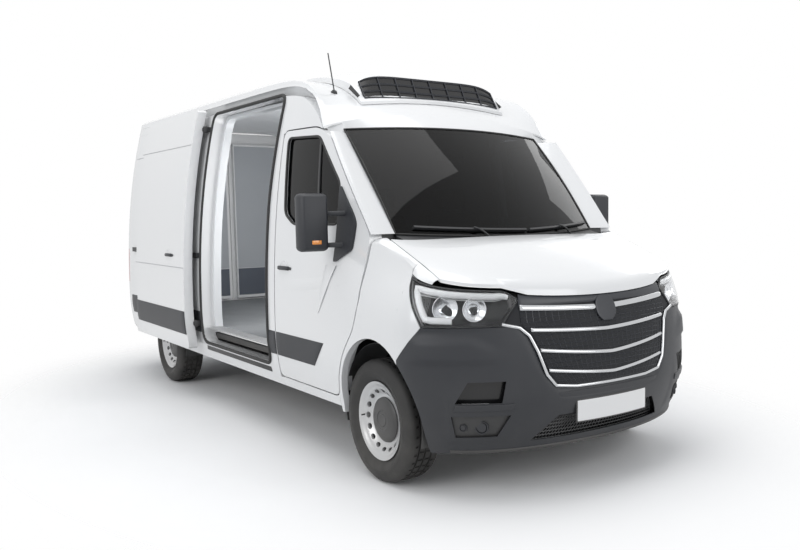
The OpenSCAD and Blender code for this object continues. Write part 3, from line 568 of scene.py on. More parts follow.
def block(name, low, high, bevel=0.003, segments=2):
    """A moulded block between two corners, with rounded edges."""
    clear_selection()
    bpy.ops.mesh.primitive_cube_add(size=1, location=(Vector(low) + Vector(high)) / 2)
    piece = bpy.context.object
    piece.name = name
    piece.scale = Vector(high) - Vector(low)
    bpy.ops.object.transform_apply(location=True, rotation=True, scale=True)
    rounded(piece, bevel, segments)
    return piece


for node in ("body_side_left", "body_side_right", "roof_panel", "rear_frame", "windscreen_pillars"):
    shell_of(node, node + "_panel", white_paint, angle=28)
scuttle = shell_of("scuttle", "scuttle_cowl", trim_black)


def rise(d, run):
    """A curve from 0 towards 1, most of it within the run."""
    return 1 - math.exp(-max(0, d) / run)


def roof_edge(x):
    """Height and half width of the roof's edge at x."""
    z = 2010 + 335 * rise(-676 - x, 170)
    return z, cab_y(x, z)


def roof_at(x, u):
    """A point of the roof at x, u from -1 at its right edge to 1 at its left."""
    d = -572 - 104 * u * u - x
    edge, half = roof_edge(x)
    top = 2475 - 130 * (1 - (1 - abs(u) ** 3) ** (1 / 3))
    low = 2037 - 27 * u * u
    return at(x, u * half, low + (top - low) * rise(d, 400 - 230 * u ** 6))


for side, hand in ((-1, "right"), (1, "left")):
    gutter = [roof_at(x, side) + Vector((0, side * 0.001, 0.001)) for x in range(-4590, -800, 95)]
    bead = put_on(tube(f"roof_seam_{hand}", gutter, 0.0035), white_paint, "body")
    rear_strip = strip_on_side(f"quarter_strip_{hand}", side, -4570, -4160, strip_low, strip_high)
    sill_strip = strip_on_side(f"arch_strip_{hand}", side, -3240, -2640, strip_low, strip_high)
    for piece in (rear_strip, sill_strip):
        put_on(piece, trim_charcoal, "body")
gutter_end = sheet("gutter_end_right", 16, 5, lambda u, v: at(
    mix(-4601, -3950, u), 0.5 - side_y(mix(2276, 2351, v)), mix(2276, 2351, v)), 0.004)
put_on(gutter_end, white_paint, "body")
long_strip = strip_on_side("long_strip_left", 1, -2634, -1200, strip_low, strip_high)
post_strip = strip_on_side("post_strip_right", -1, -1318, -1202, 572, 727)
for piece in (long_strip, post_strip):
    put_on(piece, trim_charcoal, "body")
for x, half_x, label in ((0, 0.405, "front"), (-wheelbase, 0.40, "rear")):
    for side, hand in ((-1, "right"), (1, "left")):
        def place(u, v):
            a = math.radians(mix(-14, 194, u))
            y = mix(730 if x == 0 else 600, 955, v)
            return Vector((at(x + arch_x, 0, 0).x + half_x * math.cos(a), side * y / 1000,
                           arch_z + arch_rise * math.sin(a)))
        housing = put_on(sheet(f"{label}_arch_liner_{hand}", 36, 4, place, 0.003), trim_black, "body")

# ---- front wings ----------------------------------------------------------
# Pressed steel wings bolted on beside the bonnet, with a rolled arch lip.

wings = shell_of("front_wings", "front_wing_panels", white_paint, angle=26)

# ---- insulated lining -----------------------------------------------------
# Glass-fibre sandwich panels, white and smooth enough to hose down, on the
# walls and ceiling, with a load floor of grey anti-slip resin.

liner_white = finish_of("liner_white", (0.74, 0.76, 0.78), (0.79, 0.80, 0.81), 0.35, drift=2,
                        grain=150, bump=0.12, dust=0.1, coat=0.2)
floor_resin = finish_of("floor_resin", (0.22, 0.23, 0.24), (0.30, 0.31, 0.32), 0.7, drift=5,
                        grain=650, bump=0.6, dust=0.3)
plate_aluminium = finish_of("plate_aluminium", (0.62, 0.63, 0.64), (0.72, 0.72, 0.72), 0.3,
                            metal=0.9, drift=8, grain=400, bump=0.1, dust=0.2)
for node in ("liner_walls", "liner_ceiling"):
    shell_of(node, node + "_panel", liner_white)
shell_of("liner_floor", "load_floor_panel", floor_resin)

# ---- side opening ---------------------------------------------------------
# A white flange carries a thick black seal all round. Below it are a ribbed
# aluminium threshold and a black step with a light rail along its edge.

seal_line = [at(x, -side_y(z) - 1, z) for x, z in smooth_loop(
    [(-2607, 490), (-1313, 490), (-1313, 1600), (-1264, 2287), (-2588, 2287)], 82, 8)]
fine_line = []
seal_step = 0.08
for i, here in enumerate(seal_line):
    on = seal_line[(i + 1) % len(seal_line)]
    count = max(1, int((on - here).length / seal_step))
    for k in range(count):
        p = here.lerp(on, k / count)
        p.y = -side_y(p.z * 1000) / 1000 - 0.001
        fine_line.append(p)
seal = put_on(tube("opening_seal", fine_line, 0.0125, closed=True, sides=4), seal_rubber, "body")
low_y = side_y(520) / 1000
threshold = block("threshold_plate", (at(-2585, 0, 0).x, -low_y + 0.012, 0.600),
                  (at(-1335, 0, 0).x, -low_y + 0.135, 0.609), 0.002)
ribs = [threshold]
for i in range(9):
    y = -low_y + 0.022 + 0.0125 * i
    ribs.append(block("rib", (at(-2575, 0, 0).x, y, 0.608),
                      (at(-1345, 0, 0).x, y + 0.005, 0.612), 0.001, 1))
threshold = put_on(joined("threshold_plate", ribs), plate_aluminium, "body")
step = block("side_step", (at(-2580, 0, 0).x, -side_y(455) / 1000 - 0.002, 0.432),
             (at(-1335, 0, 0).x, -0.86, 0.498), 0.006)
put_on(step, trim_black, "body")
rail = block("side_step_rail", (at(-2560, 0, 0).x, -side_y(470) / 1000 - 0.004, 0.486),
             (at(-1350, 0, 0).x, -side_y(470) / 1000 + 0.012, 0.503), 0.003)
put_on(rail, plate_aluminium, "body")
jamb_bits = []
for z in (760, 1250, 1700):
    jamb_bits.append(block("latch", at(-1322, -side_y(z) + 22, z),
                           at(-1310, -side_y(z) + 66, z + 74), 0.004))
for z in (640, 900, 1060, 1500, 1900):
    jamb_bits.append(post(0.013, 0.006, at(-1322, -side_y(z) + 44, z), (1, 0, 0), 20, 0.002))
jamb = put_on(joined("jamb_latches", jamb_bits), trim_black, "body")

# ---- bulkhead and evaporator ----------------------------------------------
# A grey insulated wall behind the seats, with a blue-grey kick plate, two
# darker joint strips and, up against the ceiling, the cold-air unit.

bulkhead_grey = finish_of("bulkhead_grey", (0.40, 0.42, 0.45), (0.46, 0.48, 0.50), 0.5, drift=2,
                          grain=300, bump=0.12, dust=0.1)
kick_blue = finish_of("kick_blue", (0.085, 0.10, 0.13), (0.12, 0.135, 0.16), 0.55, drift=4,
                      grain=400, bump=0.25, dust=0.3)
strip_grey = finish_of("strip_grey", (0.22, 0.23, 0.25), (0.27, 0.28, 0.30), 0.5, bump=0.15)
shell_of("bulkhead_panel", "bulkhead_wall", bulkhead_grey)
back_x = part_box("bulkhead_panel")[0].x
kick = put_on(block("kick_plate", (back_x - 0.006, -0.86, 0.612), (back_x + 0.001, 0.86, 0.93), 0.002),
              kick_blue, "body")
for y, label in ((-0.52, "near"), (0.52, "far")):
    band = put_on(block(f"bulkhead_strip_{label}", (back_x - 0.010, y - 0.035, 0.94),
                        (back_x + 0.001, y + 0.035, 2.03), 0.002), strip_grey, "body")
cold_unit = shell_of("evaporator", "evaporator_case", liner_white)
rounded(cold_unit, 0.006)
low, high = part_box("evaporator")
for i in range(3):
    y = -0.34 + 0.34 * i
    ring = turned("fan_guard", [(128, -4), (128, 4), (118, 6), (118, -2)],
                  (low.x + 0.26, y, low.z + 0.058), 48, axis=(0.24, 0, -0.97), out=(0, 1, 0))
    rings = [ring]
    for r in (36, 66, 96):
        rings.append(turned("fan_wire", [(r, -1), (r, 2), (r - 4, 2), (r - 4, -1)],
                            (low.x + 0.26, y, low.z + 0.058), 40, axis=(0.24, 0, -0.97), out=(0, 1, 0)))
    guard = put_on(joined(f"fan_guard_{i + 1}", rings), trim_black, "body")

# ---- sliding door ---------------------------------------------------------
# A steel panel door, run back along its rail on hinged arms. It has a bar
# handle over a round dish, a charcoal rub strip and two pressed creases, drawn
# as thin grey beads whose grey is painted shade.

shell_of("sliding_door", "sliding_door_panel", white_paint, angle=26)
shell_of("door_track", "door_track_rail", trim_black)
door_out = 118


def strip_on_slider(name, x0, x1, z0, z1, wall, proud):
    """A moulding on the sliding door's skin."""
    def place(u, v):
        z = mix(z0, z1, v)
        return at(mix(x0, x1, u), -(side_y(z) + door_out + proud - wall / 2 + 3 * math.sin(math.pi * v)), z)
    return sheet(name, 16, 8, place, wall / 1000, 0.003)


slider_strip = strip_on_slider("slider_rub_strip", -3985, -2668, 552, 738, 12, 4)
put_on(slider_strip, trim_charcoal, "body")


def dished_handle(name, x, z, side, skin, body):
    """A dark bar across a round dish pressed in the skin; skin(z) is the skin's y in mm."""
    y = side * skin(z)
    dish = turned(f"{name}_dish", [(0, -7), (36, -5), (47, 0), (50, 0.8), (50, -6), (0, -12)],
                  at(x, y, z), 48, axis=(0, side, 0))
    put_on(dish, white_paint, body)
    grip = block(f"{name}_grip", at(x - 78, y - side * 8 - 11, z - 13),
                 at(x + 78, y - side * 8 + 11, z + 13), 0.009, 3)
    for vertex in grip.data.vertices:
        q = (vertex.co.x - at(x, 0, 0).x) / 0.078
        vertex.co.y += side * (0.020 - 0.012 * q * q)
    put_on(grip, trim_charcoal, body)
    lock = turned(f"{name}_lock", [(0, 1), (0, 6), (8, 6), (10, 4), (10, 1)],
                  at(x + 98, y + side * 1, z), 24, axis=(0, side, 0))
    put_on(lock, trim_black, body)


# The pressed creases on the slider, the right quarter and the left side are thin grey beads: the grey is
# painted shade along each crease.
crease_shade_grey = finish_of("crease_shade_grey", (0.34, 0.35, 0.36), (0.40, 0.41, 0.42), 0.4, bump=0.1, dust=0.3)
creased = (("slider", -1, -3978, -2672, door_out), ("quarter", -1, -4596, -3990, 0),
           ("left_side", 1, -4596, -1216, 0))
for z, label in ((1083, "low"), (2050, "high")):
    for name, side, x0, x1, proud in creased:
        if name != "quarter" or label == "high":
            line = [at(mix(x0, x1, k / 12), side * (side_y(z) + proud), z) for k in range(13)]
            crease = put_on(tube(f"{name}_crease_{label}", line, 0.0028), crease_shade_grey, "body")
dished_handle("slider_handle", -3022, 1176, -1, lambda z: side_y(z) + door_out, "body")
arms = []
for z in (640, 2170):
    skin = -side_y(z)
    arms.append(block("arm", at(-2950, skin - door_out + 60, z - 16),
                      at(-2640, skin - door_out + 84, z + 16), 0.006))
    arms.append(post(0.018, 0.05, at(-2650, skin - 34, z), (0, 0, 1), 20, 0.003))
    arms.append(block("foot", at(-2700, skin - 40, z - 20), at(-2625, skin + 6, z + 20), 0.005))
arms = put_on(joined("slider_arms", arms), trim_black, "body")

# ---- rear doors, step and lamps -------------------------------------------
# Two insulated leaves hung on three pins each, with one long locking bar and
# its lever, and a charcoal step. The red lamps have an amber and a clear lens.

lamp_red = finish_of("lamp_red", (0.36, 0.008, 0.010), (0.46, 0.014, 0.014), 0.12, drift=12,
                     grain=90, bump=0.3, dust=0.2, coat=1.0)
lamp_amber = finish_of("lamp_amber", (0.85, 0.26, 0.02), (0.90, 0.33, 0.03), 0.14, drift=12,
                       grain=90, bump=0.3, dust=0.1, coat=1.0)
lamp_white = finish_of("lamp_white", (0.80, 0.81, 0.82), (0.88, 0.88, 0.89), 0.14, drift=12,
                       grain=90, bump=0.3, dust=0.1, coat=1.0)
for hand, side in (("left", 1), ("right", -1)):
    body = f"rear_door_{hand}"
    shell_of(body, f"rear_door_panel_{hand}", white_paint, body, 28)
    face_x = at(-4660, 0, 0).x
    edge = [Vector((face_x + 0.004, side * y, z)) for y, z in (
        (0.018, 0.575), (0.786, 0.575), (0.786, 2.315), (0.018, 2.315))]
    edge_seal = put_on(tube(f"rear_door_seal_{hand}", edge, 0.005, closed=True), seal_rubber, body)
    if hand == "right":
        bar = [post(0.009, 1.62, (face_x - 0.018, side * 0.10, 1.45), (0, 0, 1), 16, 0.001)]
        for z in (0.70, 1.05, 1.45, 1.85, 2.20):
            bar.append(block("bracket", (face_x - 0.030, side * 0.10 - 0.016, z - 0.012),
                             (face_x + 0.002, side * 0.10 + 0.016, z + 0.012), 0.003))
        bar.append(block("lever", (face_x - 0.034, side * 0.10 - 0.02, 1.02),
                         (face_x - 0.016, side * 0.10 + 0.02, 1.20), 0.005))
        put_on(joined("rear_lock_bar", bar), plate_aluminium, body)
    panels = sheet(f"rear_door_swage_{hand}", 14, 20, lambda u, v: Vector((
        face_x - 0.0035 + 0.003 * max(abs(2 * u - 1), abs(2 * v - 1)) ** 6,
        side * mix(0.16, 0.70, u), mix(1.30, 2.16, v))), 0.003, 0.001)
    put_on(panels, white_paint, body)
    inside_x = at(-4555, 0, 0).x
    y0, y1 = sorted((side * 0.05, side * 0.68))
    lining = block(f"rear_door_lining_{hand}", (inside_x - 0.001, y0, 0.94),
                   (inside_x + 0.003, y1, 2.21), 0.001, 1)
    put_on(lining, bulkhead_grey, body)
    scuff = block(f"rear_door_kick_{hand}", (inside_x - 0.001, y0, 0.655),
                  (inside_x + 0.004, y1, 0.935), 0.001, 1)
    put_on(scuff, kick_blue, body)
shell_of("rear_step", "rear_step_tread", trim_charcoal)
low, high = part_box("rear_step")
treads = [block("tread", (low.x + 0.006 + 0.008 * i, -0.92, high.z - 0.001),
                (low.x + 0.010 + 0.008 * i, 0.92, high.z + 0.002), 0.0008, 1) for i in range(5)]
put_on(joined("rear_step_grip", treads), trim_black, "body")
shell_of("tail_lamps", "tail_lamp_lenses", lamp_red)
low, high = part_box("tail_lamps")
for hand, side in (("left", 1), ("right", -1)):
    y0, y1 = sorted((side * 0.868, side * 0.992))
    for z0, z1, paint, label in ((0.95, 1.0, lamp_white, "reverse"), (1.01, 1.08, lamp_amber, "turn")):
        lens = block(f"tail_{label}_{hand}", (low.x - 0.003, y0, z0), (low.x + 0.002, y1, z1), 0.001)
        put_on(lens, paint, "body")
    y0, y1 = sorted((side * 0.866, side * 0.994))
    ribs = [block("rib", (low.x - 0.002, y0, 0.874 + 0.012 * i), (low.x + 0.001, y1, 0.878 + 0.012 * i),
                  0.0006, 1) for i in range(6)]
    put_on(joined(f"tail_ribs_{hand}", ribs), lamp_red, "body")

# ---- dashboard and steering wheel -----------------------------------------
# A grained plastic fascia with a hooded dial pod, round vents and a centre
# stack; the leather-covered wheel turns on its column in front of it.

dash_grey = finish_of("dash_grey", (0.045, 0.047, 0.051), (0.060, 0.062, 0.067), 0.7, drift=4,
                      grain=1100, bump=0.7, dust=0.0)
wheel_leather = finish_of("wheel_leather", (0.025, 0.025, 0.027), (0.036, 0.036, 0.038), 0.55,
                          drift=9, grain=900, bump=0.9, dust=0.0)
screen_dark = finish_of("screen_dark", (0.012, 0.014, 0.018), (0.02, 0.022, 0.026), 0.12, bump=0.02,
                        dust=0.0, coat=0.8)
fascia = shell_of("dashboard", "dashboard_fascia", dash_grey, angle=30)
low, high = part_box("dashboard")
pod = block("dial_pod", (low.x + 0.055, 0.27, 1.235), (low.x + 0.20, 0.59, 1.352), 0.03, 4)
put_on(pod, dash_grey, "body")
dials = block("dial_glass", (low.x + 0.050, 0.295, 1.25), (low.x + 0.058, 0.565, 1.33), 0.003)
put_on(dials, screen_dark, "body")
stack = block("centre_stack", (low.x - 0.012, -0.14, 0.96), (low.x + 0.06, 0.14, 1.24), 0.02, 3)
put_on(stack, trim_black, "body")
panel = block("centre_display", (low.x - 0.016, -0.11, 1.10), (low.x - 0.008, 0.11, 1.22), 0.003)
put_on(panel, screen_dark, "body")
knobs = [post(0.018, 0.022, (low.x - 0.018, y, 1.03), (1, 0, 0), 28, 0.003) for y in (-0.075, 0, 0.075)]
put_on(joined("heater_knobs", knobs), trim_charcoal, "body")
for i, y in enumerate((-0.62, -0.22, 0.22, 0.66)):
    vent = turned(f"air_vent_{i + 1}", [(36, -6), (36, 6), (42, 8), (46, 2), (46, -6)],
                  (low.x + 0.022, y, 1.19), 36, axis=(-1, 0, 0.25), out=(0, 1, 0))
    slats = [vent] + [block("slat", (low.x + 0.016, y - 0.034, 1.163 + 0.013 * k),
                            (low.x + 0.026, y + 0.034, 1.166 + 0.013 * k), 0.001, 1) for k in range(5)]
    put_on(joined(f"air_vent_{i + 1}", slats), trim_black, "body")
grip = shell_of("steering_wheel", "steering_wheel_rim", wheel_leather, "steering_wheel", 40)

# ---- seats ----------------------------------------------------------------
# Foam cushions in dark woven cloth over steel pans: one for the driver and a
# double bench, with sewn channels and separate headrests.


def build_weave():
    """Over-and-under threads of a seat cloth, as height and shade."""
    group = bpy.data.node_groups.new("cloth_weave", "ShaderNodeTree")
    dial = group.interface.new_socket("Threads", in_out="INPUT", socket_type="NodeSocketFloat")
    dial.default_value = 600
    group.interface.new_socket("Height", in_out="OUTPUT", socket_type="NodeSocketFloat")
    given, put = group.nodes.new("NodeGroupInput"), group.nodes.new("NodeGroupOutput")
    spot, split = group.nodes.new("ShaderNodeTexCoord"), group.nodes.new("ShaderNodeSeparateXYZ")
    group.links.new(spot.outputs["Object"], split.inputs[0])
    waves = []
    for axis in "XYZ":
        turn, wave = (group.nodes.new("ShaderNodeMath") for _ in range(2))
        turn.operation, wave.operation = "MULTIPLY", "SINE"
        group.links.new(split.outputs[axis], turn.inputs[0])
        group.links.new(given.outputs["Threads"], turn.inputs[1])
        group.links.new(turn.outputs[0], wave.inputs[0])
        waves.append(wave)
    total = waves[0].outputs[0]
    for wave in waves[1:]:
        add = group.nodes.new("ShaderNodeMath")
        add.operation = "ADD"
        group.links.new(total, add.inputs[0])
        group.links.new(wave.outputs[0], add.inputs[1])
        total = add.outputs[0]
    scale = group.nodes.new("ShaderNodeMapRange")
    scale.inputs["From Min"].default_value = -3
    scale.inputs["From Max"].default_value = 3
    group.links.new(total, scale.inputs["Value"])
    group.links.new(scale.outputs[0], put.inputs["Height"])
    return group


weave = build_weave()
seat_cloth = bpy.data.materials.new("seat_cloth")
tree = node_tree(seat_cloth)
threads = tree.nodes.new("ShaderNodeGroup")
threads.node_tree = weave
threads.inputs["Threads"].default_value = 1400
shades = tree.nodes.new("ShaderNodeMix")
shades.data_type = "RGBA"
shades.inputs[6].default_value = (0.030, 0.032, 0.036, 1)
shades.inputs[7].default_value = (0.075, 0.080, 0.090, 1)
fibre = tree.nodes.new("ShaderNodeBump")
fibre.inputs["Strength"].default_value = 0.5
fibre.inputs["Distance"].default_value = 0.0008
cloth = tree.nodes.new("ShaderNodeBsdfPrincipled")
cloth.inputs["Roughness"].default_value = 0.92
cloth.inputs["Sheen Weight"].default_value = 0.35
tree.links.new(threads.outputs["Height"], shades.inputs[0])
tree.links.new(threads.outputs["Height"], fibre.inputs["Height"])
tree.links.new(shades.outputs[2], cloth.inputs["Base Color"])
tree.links.new(fibre.outputs[0], cloth.inputs["Normal"])
tree.links.new(cloth.outputs[0], tree.nodes.new("ShaderNodeOutputMaterial").inputs["Surface"])


def cushion(name, foot, head, width, depth, y, channels=2):
    """A crowned pad from foot to head, (x, z) in mm on its front face, centred on y."""
    a, b = Vector((foot[0], 0, foot[1])), Vector((head[0], 0, head[1]))
    along = (b - a).normalized()
    front = Vector((along.z, 0, -along.x))
    clear_selection()
    bpy.ops.mesh.primitive_cube_add(size=2)
    pad = bpy.context.object
    pad.name = name
    edit_whole(pad, lambda: bpy.ops.mesh.subdivide(number_cuts=13))
    for vertex in pad.data.vertices:
        p, q, r = vertex.co
        round_p, round_q = (1 - 0.045 * q * q), (1 - 0.06 * p * p)
        crown = max(0, (1 - p ** 4) * (1 - q ** 4))
        seam = sum(math.exp(-((p - s) / 0.045) ** 2) for s in (
            (-0.36, 0.36) if channels == 2 else (-0.68, -0.16, 0.0, 0.16, 0.68) if channels else ()))
        cross = math.exp(-((q - 0.55) / 0.04) ** 2) if channels else 0
        thick = 0.62 + 0.38 * crown ** 0.5 - (0.16 * min(1, seam + 0.7 * cross) if r > 0.9 else 0)
        spot = (a + b) / 2 + along * (q * round_q * (b - a).length / 2)
        spot += front * (depth / 2 * (r * thick - 1))
        vertex.co = at(spot.x, y + p * round_p * width / 2, spot.z)
    soft = pad.modifiers.new("soft", "SUBSURF")
    soft.levels = soft.render_levels = 1
    pick(pad)
    bpy.ops.object.modifier_apply(modifier="soft")
    face_outwards(pad)
    put_on(pad, seat_cloth, "body", 60)


for label, y, width, channels in (("driver", 430, 490, 2), ("bench", -430, 890, 5)):
    cushion(f"{label}_cushion", (-1120, 866), (-640, 898), width, 118, y, channels)
    cushion(f"{label}_back", (-1096, 880), (-1178, 1492), width, 84, y, channels)
    for k, off in enumerate((0,) if label == "driver" else (-225, 225)):
        middle = y + off
        cushion(f"{label}_headrest_{k + 1}", (-1188, 1520), (-1204, 1668), 250, 62, middle, 0)
        pins = [post(0.006, 0.09, at(-1222, middle + s * 62, 1500), (0, 0, 1), 12, 0.001)
                for s in (-1, 1)]
        put_on(joined(f"{label}_headrest_pins_{k + 1}", pins), plate_aluminium, "body")
    base = block(f"{label}_seat_base", at(-1070, y - width / 2 + 30, 521),
                 at(-700, y + width / 2 - 30, 768), 0.015, 3)
    put_on(base, trim_black, "body")
    if label == "driver":
        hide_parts("driver_seat")
    else:
        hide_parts("passenger_bench")

# ---- windscreen and door glass --------------------------------------------
# Laminated glass, curved both ways and bonded in, with a black ceramic edge
# behind it. The side panes are toughened glass in rubber channels.


def tinted_glass(name, colour):
    """Clear or tinted glass with a faint smear."""
    material = bpy.data.materials.new(name)
    tree = node_tree(material)
    film = tree.nodes.new("ShaderNodeGroup")
    film.node_tree = road_film
    film.inputs["Drift"].default_value = 2.5
    shade = tree.nodes.new("ShaderNodeMix")
    shade.data_type = "RGBA"
    shade.inputs[6].default_value = (*colour, 1)
    shade.inputs[7].default_value = (*(c * 0.85 for c in colour), 1)
    smear = tree.nodes.new("ShaderNodeMapRange")
    smear.inputs["To Min"].default_value = 0.0
    smear.inputs["To Max"].default_value = 0.02
    pane = tree.nodes.new("ShaderNodeBsdfPrincipled")
    pane.inputs["Transmission Weight"].default_value = 1.0
    pane.inputs["IOR"].default_value = 1.25
    pane.inputs["Specular IOR Level"].default_value = 0.2
    tree.links.new(film.outputs["Drift"], shade.inputs[0])
    tree.links.new(film.outputs["Grain"], smear.inputs["Value"])
    tree.links.new(shade.outputs[2], pane.inputs["Base Color"])
    tree.links.new(smear.outputs[0], pane.inputs["Roughness"])
    tree.links.new(pane.outputs[0], tree.nodes.new("ShaderNodeOutputMaterial").inputs["Surface"])
    return material


def glass_at(u, v, back=0):
    """A point of the windscreen, u from -1 to 1 across, v from 0 to 1 up it."""
    bulge = 14 * math.sin(math.pi * v)
    x = mix(60 - 158 * u * u, -560 - 108 * u * u, v) + bulge
    z = mix(1352 + 23 * u * u, 2035 - 25 * u * u, v) + bulge
    return at(x - back * 0.72, 771 * u, z - back * 0.69)


smoked = tinted_glass("smoked_glass", (0.04, 0.044, 0.05))
# Black for the windscreen's ceramic edge. The same black on the sheets behind the intake, the scoops and
# the roof louvres is painted shade.
frit_and_shade_black = finish_of("frit_and_shade_black", (0.010, 0.010, 0.011), (0.014, 0.014, 0.015), 0.2,
                       bump=0.02, dust=0.0)
screen = sheet("windscreen_pane", 40, 28, lambda u, v: glass_at(2 * u - 1, v, 3), 0.005)
put_on(screen, smoked, "body", 60)
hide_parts("windscreen")
bands = []
for label, (u0, u1), (v0, v1) in (("low", (-1, 1), (0, 0.075)), ("high", (-1, 1), (0.955, 1)),
                                  ("right", (-1, -0.945), (0, 1)), ("left", (0.945, 1), (0, 1))):
    bands.append(sheet(f"band_{label}", 40 if label in ("low", "high") else 3,
                       3 if label in ("low", "high") else 28,
                       lambda u, v: glass_at(mix(u0, u1, u), mix(v0, v1, v), 8.5), 0.002))
put_on(joined("windscreen_band", bands), frit_and_shade_black, "body", 60)
edge_bead = [glass_at(-1 + 2 * i / 30, 0, -1) for i in range(31)]
edge_bead += [glass_at(1, i / 20, -1) for i in range(1, 21)]
edge_bead += [glass_at(1 - 2 * i / 30, 1, -1) for i in range(1, 31)]
edge_bead += [glass_at(-1, 1 - i / 20, -1) for i in range(1, 20)]
put_on(tube("windscreen_bead", edge_bead, 0.006, closed=True), seal_rubber, "body")
for s, hand in ((-1, "right"), (1, "left")):
    head = sheet(f"screen_corner_{hand}", 10, 8, lambda u, v: Vector((
        mix(1.236, 1.214, u) + 0.026 * (1 - v), s * mix(0.770, 0.872, u), mix(1.972, 2.048, v))),
        0.004, 0.001)
    put_on(head, white_paint, "body", 60)
    foot = sheet(f"cowl_corner_{hand}", 8, 6, lambda u, v: Vector((
        mix(1.815, 1.838, u) - 0.012 * v, s * mix(0.768, 0.866, u), mix(1.326, 1.386, v))),
        0.004, 0.001)
    put_on(foot, trim_black, "body", 60)
view_mirror = block("view_mirror", at(-640, -110, 1840), at(-622, 110, 1905), 0.008, 3)
put_on(view_mirror, trim_black, "body")

# ---- cab doors ------------------------------------------------------------
# Steel doors with a framed window, a bar handle over a round dish, a pressed
# scoop under the mirror and a charcoal strip that carries on along the body.

window = [(-1067, 1500), (-940, 1432), (-410, 1432), (-412, 1670), (-700, 1966), (-1120, 1984)]
bead_step = 50


def swage_at(side, u, v):
    """The pressed crease that climbs from behind the handle towards the mirror."""
    x, z = mix(-1150, -240, u), mix(1010, 1085, v) + 95 * u ** 2.2
    return at(x, side * (
        cab_y(x, z) - 2.0 + 3.2 * math.sin(math.pi * v) * math.sin(math.pi * min(1, u * 1.02))), z)


def scoop_at(side, u, v):
    """The dished panel under the mirror, widening upwards."""
    x, z = mix(mix(-574, -486, v), mix(-566, -372, v ** 0.9), u), mix(905, 1196, v)
    return at(x, side * (cab_y(x, z) + 0.8 + 7 * v * abs(2 * u - 1) ** 4 + 2 * (1 - v)), z)


for hand, side in (("left", 1), ("right", -1)):
    body = f"cab_door_{hand}"
    shell_of(body, f"cab_door_panel_{hand}", white_paint, body, 26)
    shell_of(f"door_glass_{hand}", f"door_pane_{hand}", smoked, body, 40)
    line = []
    loop = smooth_loop(window, 45, 6)
    for i, here in enumerate(loop):
        on = loop[(i + 1) % len(loop)]
        count = max(1, int((on - here).length / bead_step))
        for k in range(count):
            p = here.lerp(on, k / count)
            line.append(at(p.x, side * (cab_y(p.x, p.y) - 3), p.y))
    frame_bead = tube(f"window_rubber_{hand}", line, 0.0085, closed=True, sides=3)
    put_on(frame_bead, seal_rubber, body)
    post_bar = sheet(f"window_divider_{hand}", 3, 14, lambda u, v: at(
        mix(-640, -705, v) + 22 * (u - 0.5), side * (cab_y(-670, mix(1436, 1962, v)) - 13),
        mix(1436, 1962, v)), 0.010, 0.002)
    put_on(post_bar, trim_black, body)
    rub = strip_on_side(f"door_rub_strip_{hand}", side, -1182, -580, 572, 727, slant=142)
    put_on(rub, trim_charcoal, body)
    dished_handle(f"door_handle_{hand}", -1052, 1152, side, lambda z: cab_y(-1052, z), body)
    swage = sheet(f"door_swage_{hand}", 26, 6, lambda u, v: swage_at(side, u, v), 0.003)
    scoop = sheet(f"door_scoop_{hand}", 14, 20, lambda u, v: scoop_at(side, u, v), 0.003)
    for piece in (swage, scoop):
        put_on(piece, white_paint, body, 60)

# ---- door mirrors ---------------------------------------------------------
# Mirrors on short arms, in grained plastic: a tall glass over a small
# wide-angle one, and a turn repeater low on the front of the shell.

mirror_silver = finish_of("mirror_silver", (0.86, 0.88, 0.90), (0.90, 0.91, 0.92), 0.08, metal=1.0,
                          drift=3, grain=500, bump=0.0, dust=0.05)
for hand, side in (("left", 1), ("right", -1)):
    body = f"cab_door_{hand}"
    case = shell_of(f"mirror_{hand}", f"mirror_case_{hand}", trim_charcoal, body, 50)
    back = at(-400, 0, 0).x
    for label, z0, z1 in (("main", 1375, 1590), ("wide", 1312, 1362)):
        y0, y1 = sorted((side * 1.098, side * 1.206))
        glass = sheet(f"mirror_glass_{label}_{hand}", 8, 12, lambda u, v: Vector((
            back - 0.0565 + 0.010 * ((2 * u - 1) ** 2 + (2 * v - 1) ** 2) * 0.5,
            mix(y0, y1, u), mix(z0, z1, v) / 1000)), 0.003, 0.001)
        put_on(glass, mirror_silver, body, 60)
    lens = block(f"mirror_repeater_{hand}", at(-352, side * 1140 - 30, 1322),
                 at(-342, side * 1140 + 30, 1346), 0.004)
    put_on(lens, lamp_amber, body)

# ---- bonnet ---------------------------------------------------------------
# One pressed panel hinged at its rear edge, with its lip turned under above
# the grille and lamps.

bonnet = shell_of("bonnet", "bonnet_panel", white_paint, "bonnet", 32)

# ---- bumper ---------------------------------------------------------------
# A moulding in grained charcoal plastic, with a fog-lamp pod and air scoop at
# each side, a meshed lower intake, a thin lip and a blank plate on its holder.


nose_tip, fullest_z, turn_x = 869, 560, 300


def nose_at(t, z, d=0.0):
    """A point of the nose: t degrees to the left of its middle, z up, sunk by d mm."""
    fall = 90 * ((fullest_z - z) / 270) ** 1.6 if z < fullest_z else 124 * ((z - fullest_z) / 546) ** 1.8
    f = nose_tip - fall - turn_x
    w = side_y(z) - 100 * max(0, min(1.15, (z - 900) / 281)) ** 2
    a = math.radians(t)
    return at(turn_x + (f - d) * math.cos(a), math.copysign((w - d) * abs(math.sin(a)) ** 0.952, t), z)


def nose_patch(name, low, high, d, wall=0.0, nu=24, nv=8, bevel=0.0):
    """A patch of the nose between (t, t, z) at its foot and at its head, sunk by d mm."""
    def place(u, v):
        t = mix(mix(low[0], low[1], u), mix(high[0], high[1], u), v)
        return nose_at(t, mix(low[2], high[2], v), d)
    return sheet(name, nu, nv, place, wall, bevel)


def nose_line(name, points, radius, steps=10):
    """A bead along points of the nose, each (t, z, mm sunk)."""
    line = []
    for foot, head in zip(points, points[1:]):
        line += [nose_at(*(mix(a, b, k / steps) for a, b in zip(foot, head))) for k in range(steps)]
    return tube(name, line + [nose_at(*points[-1])], radius)


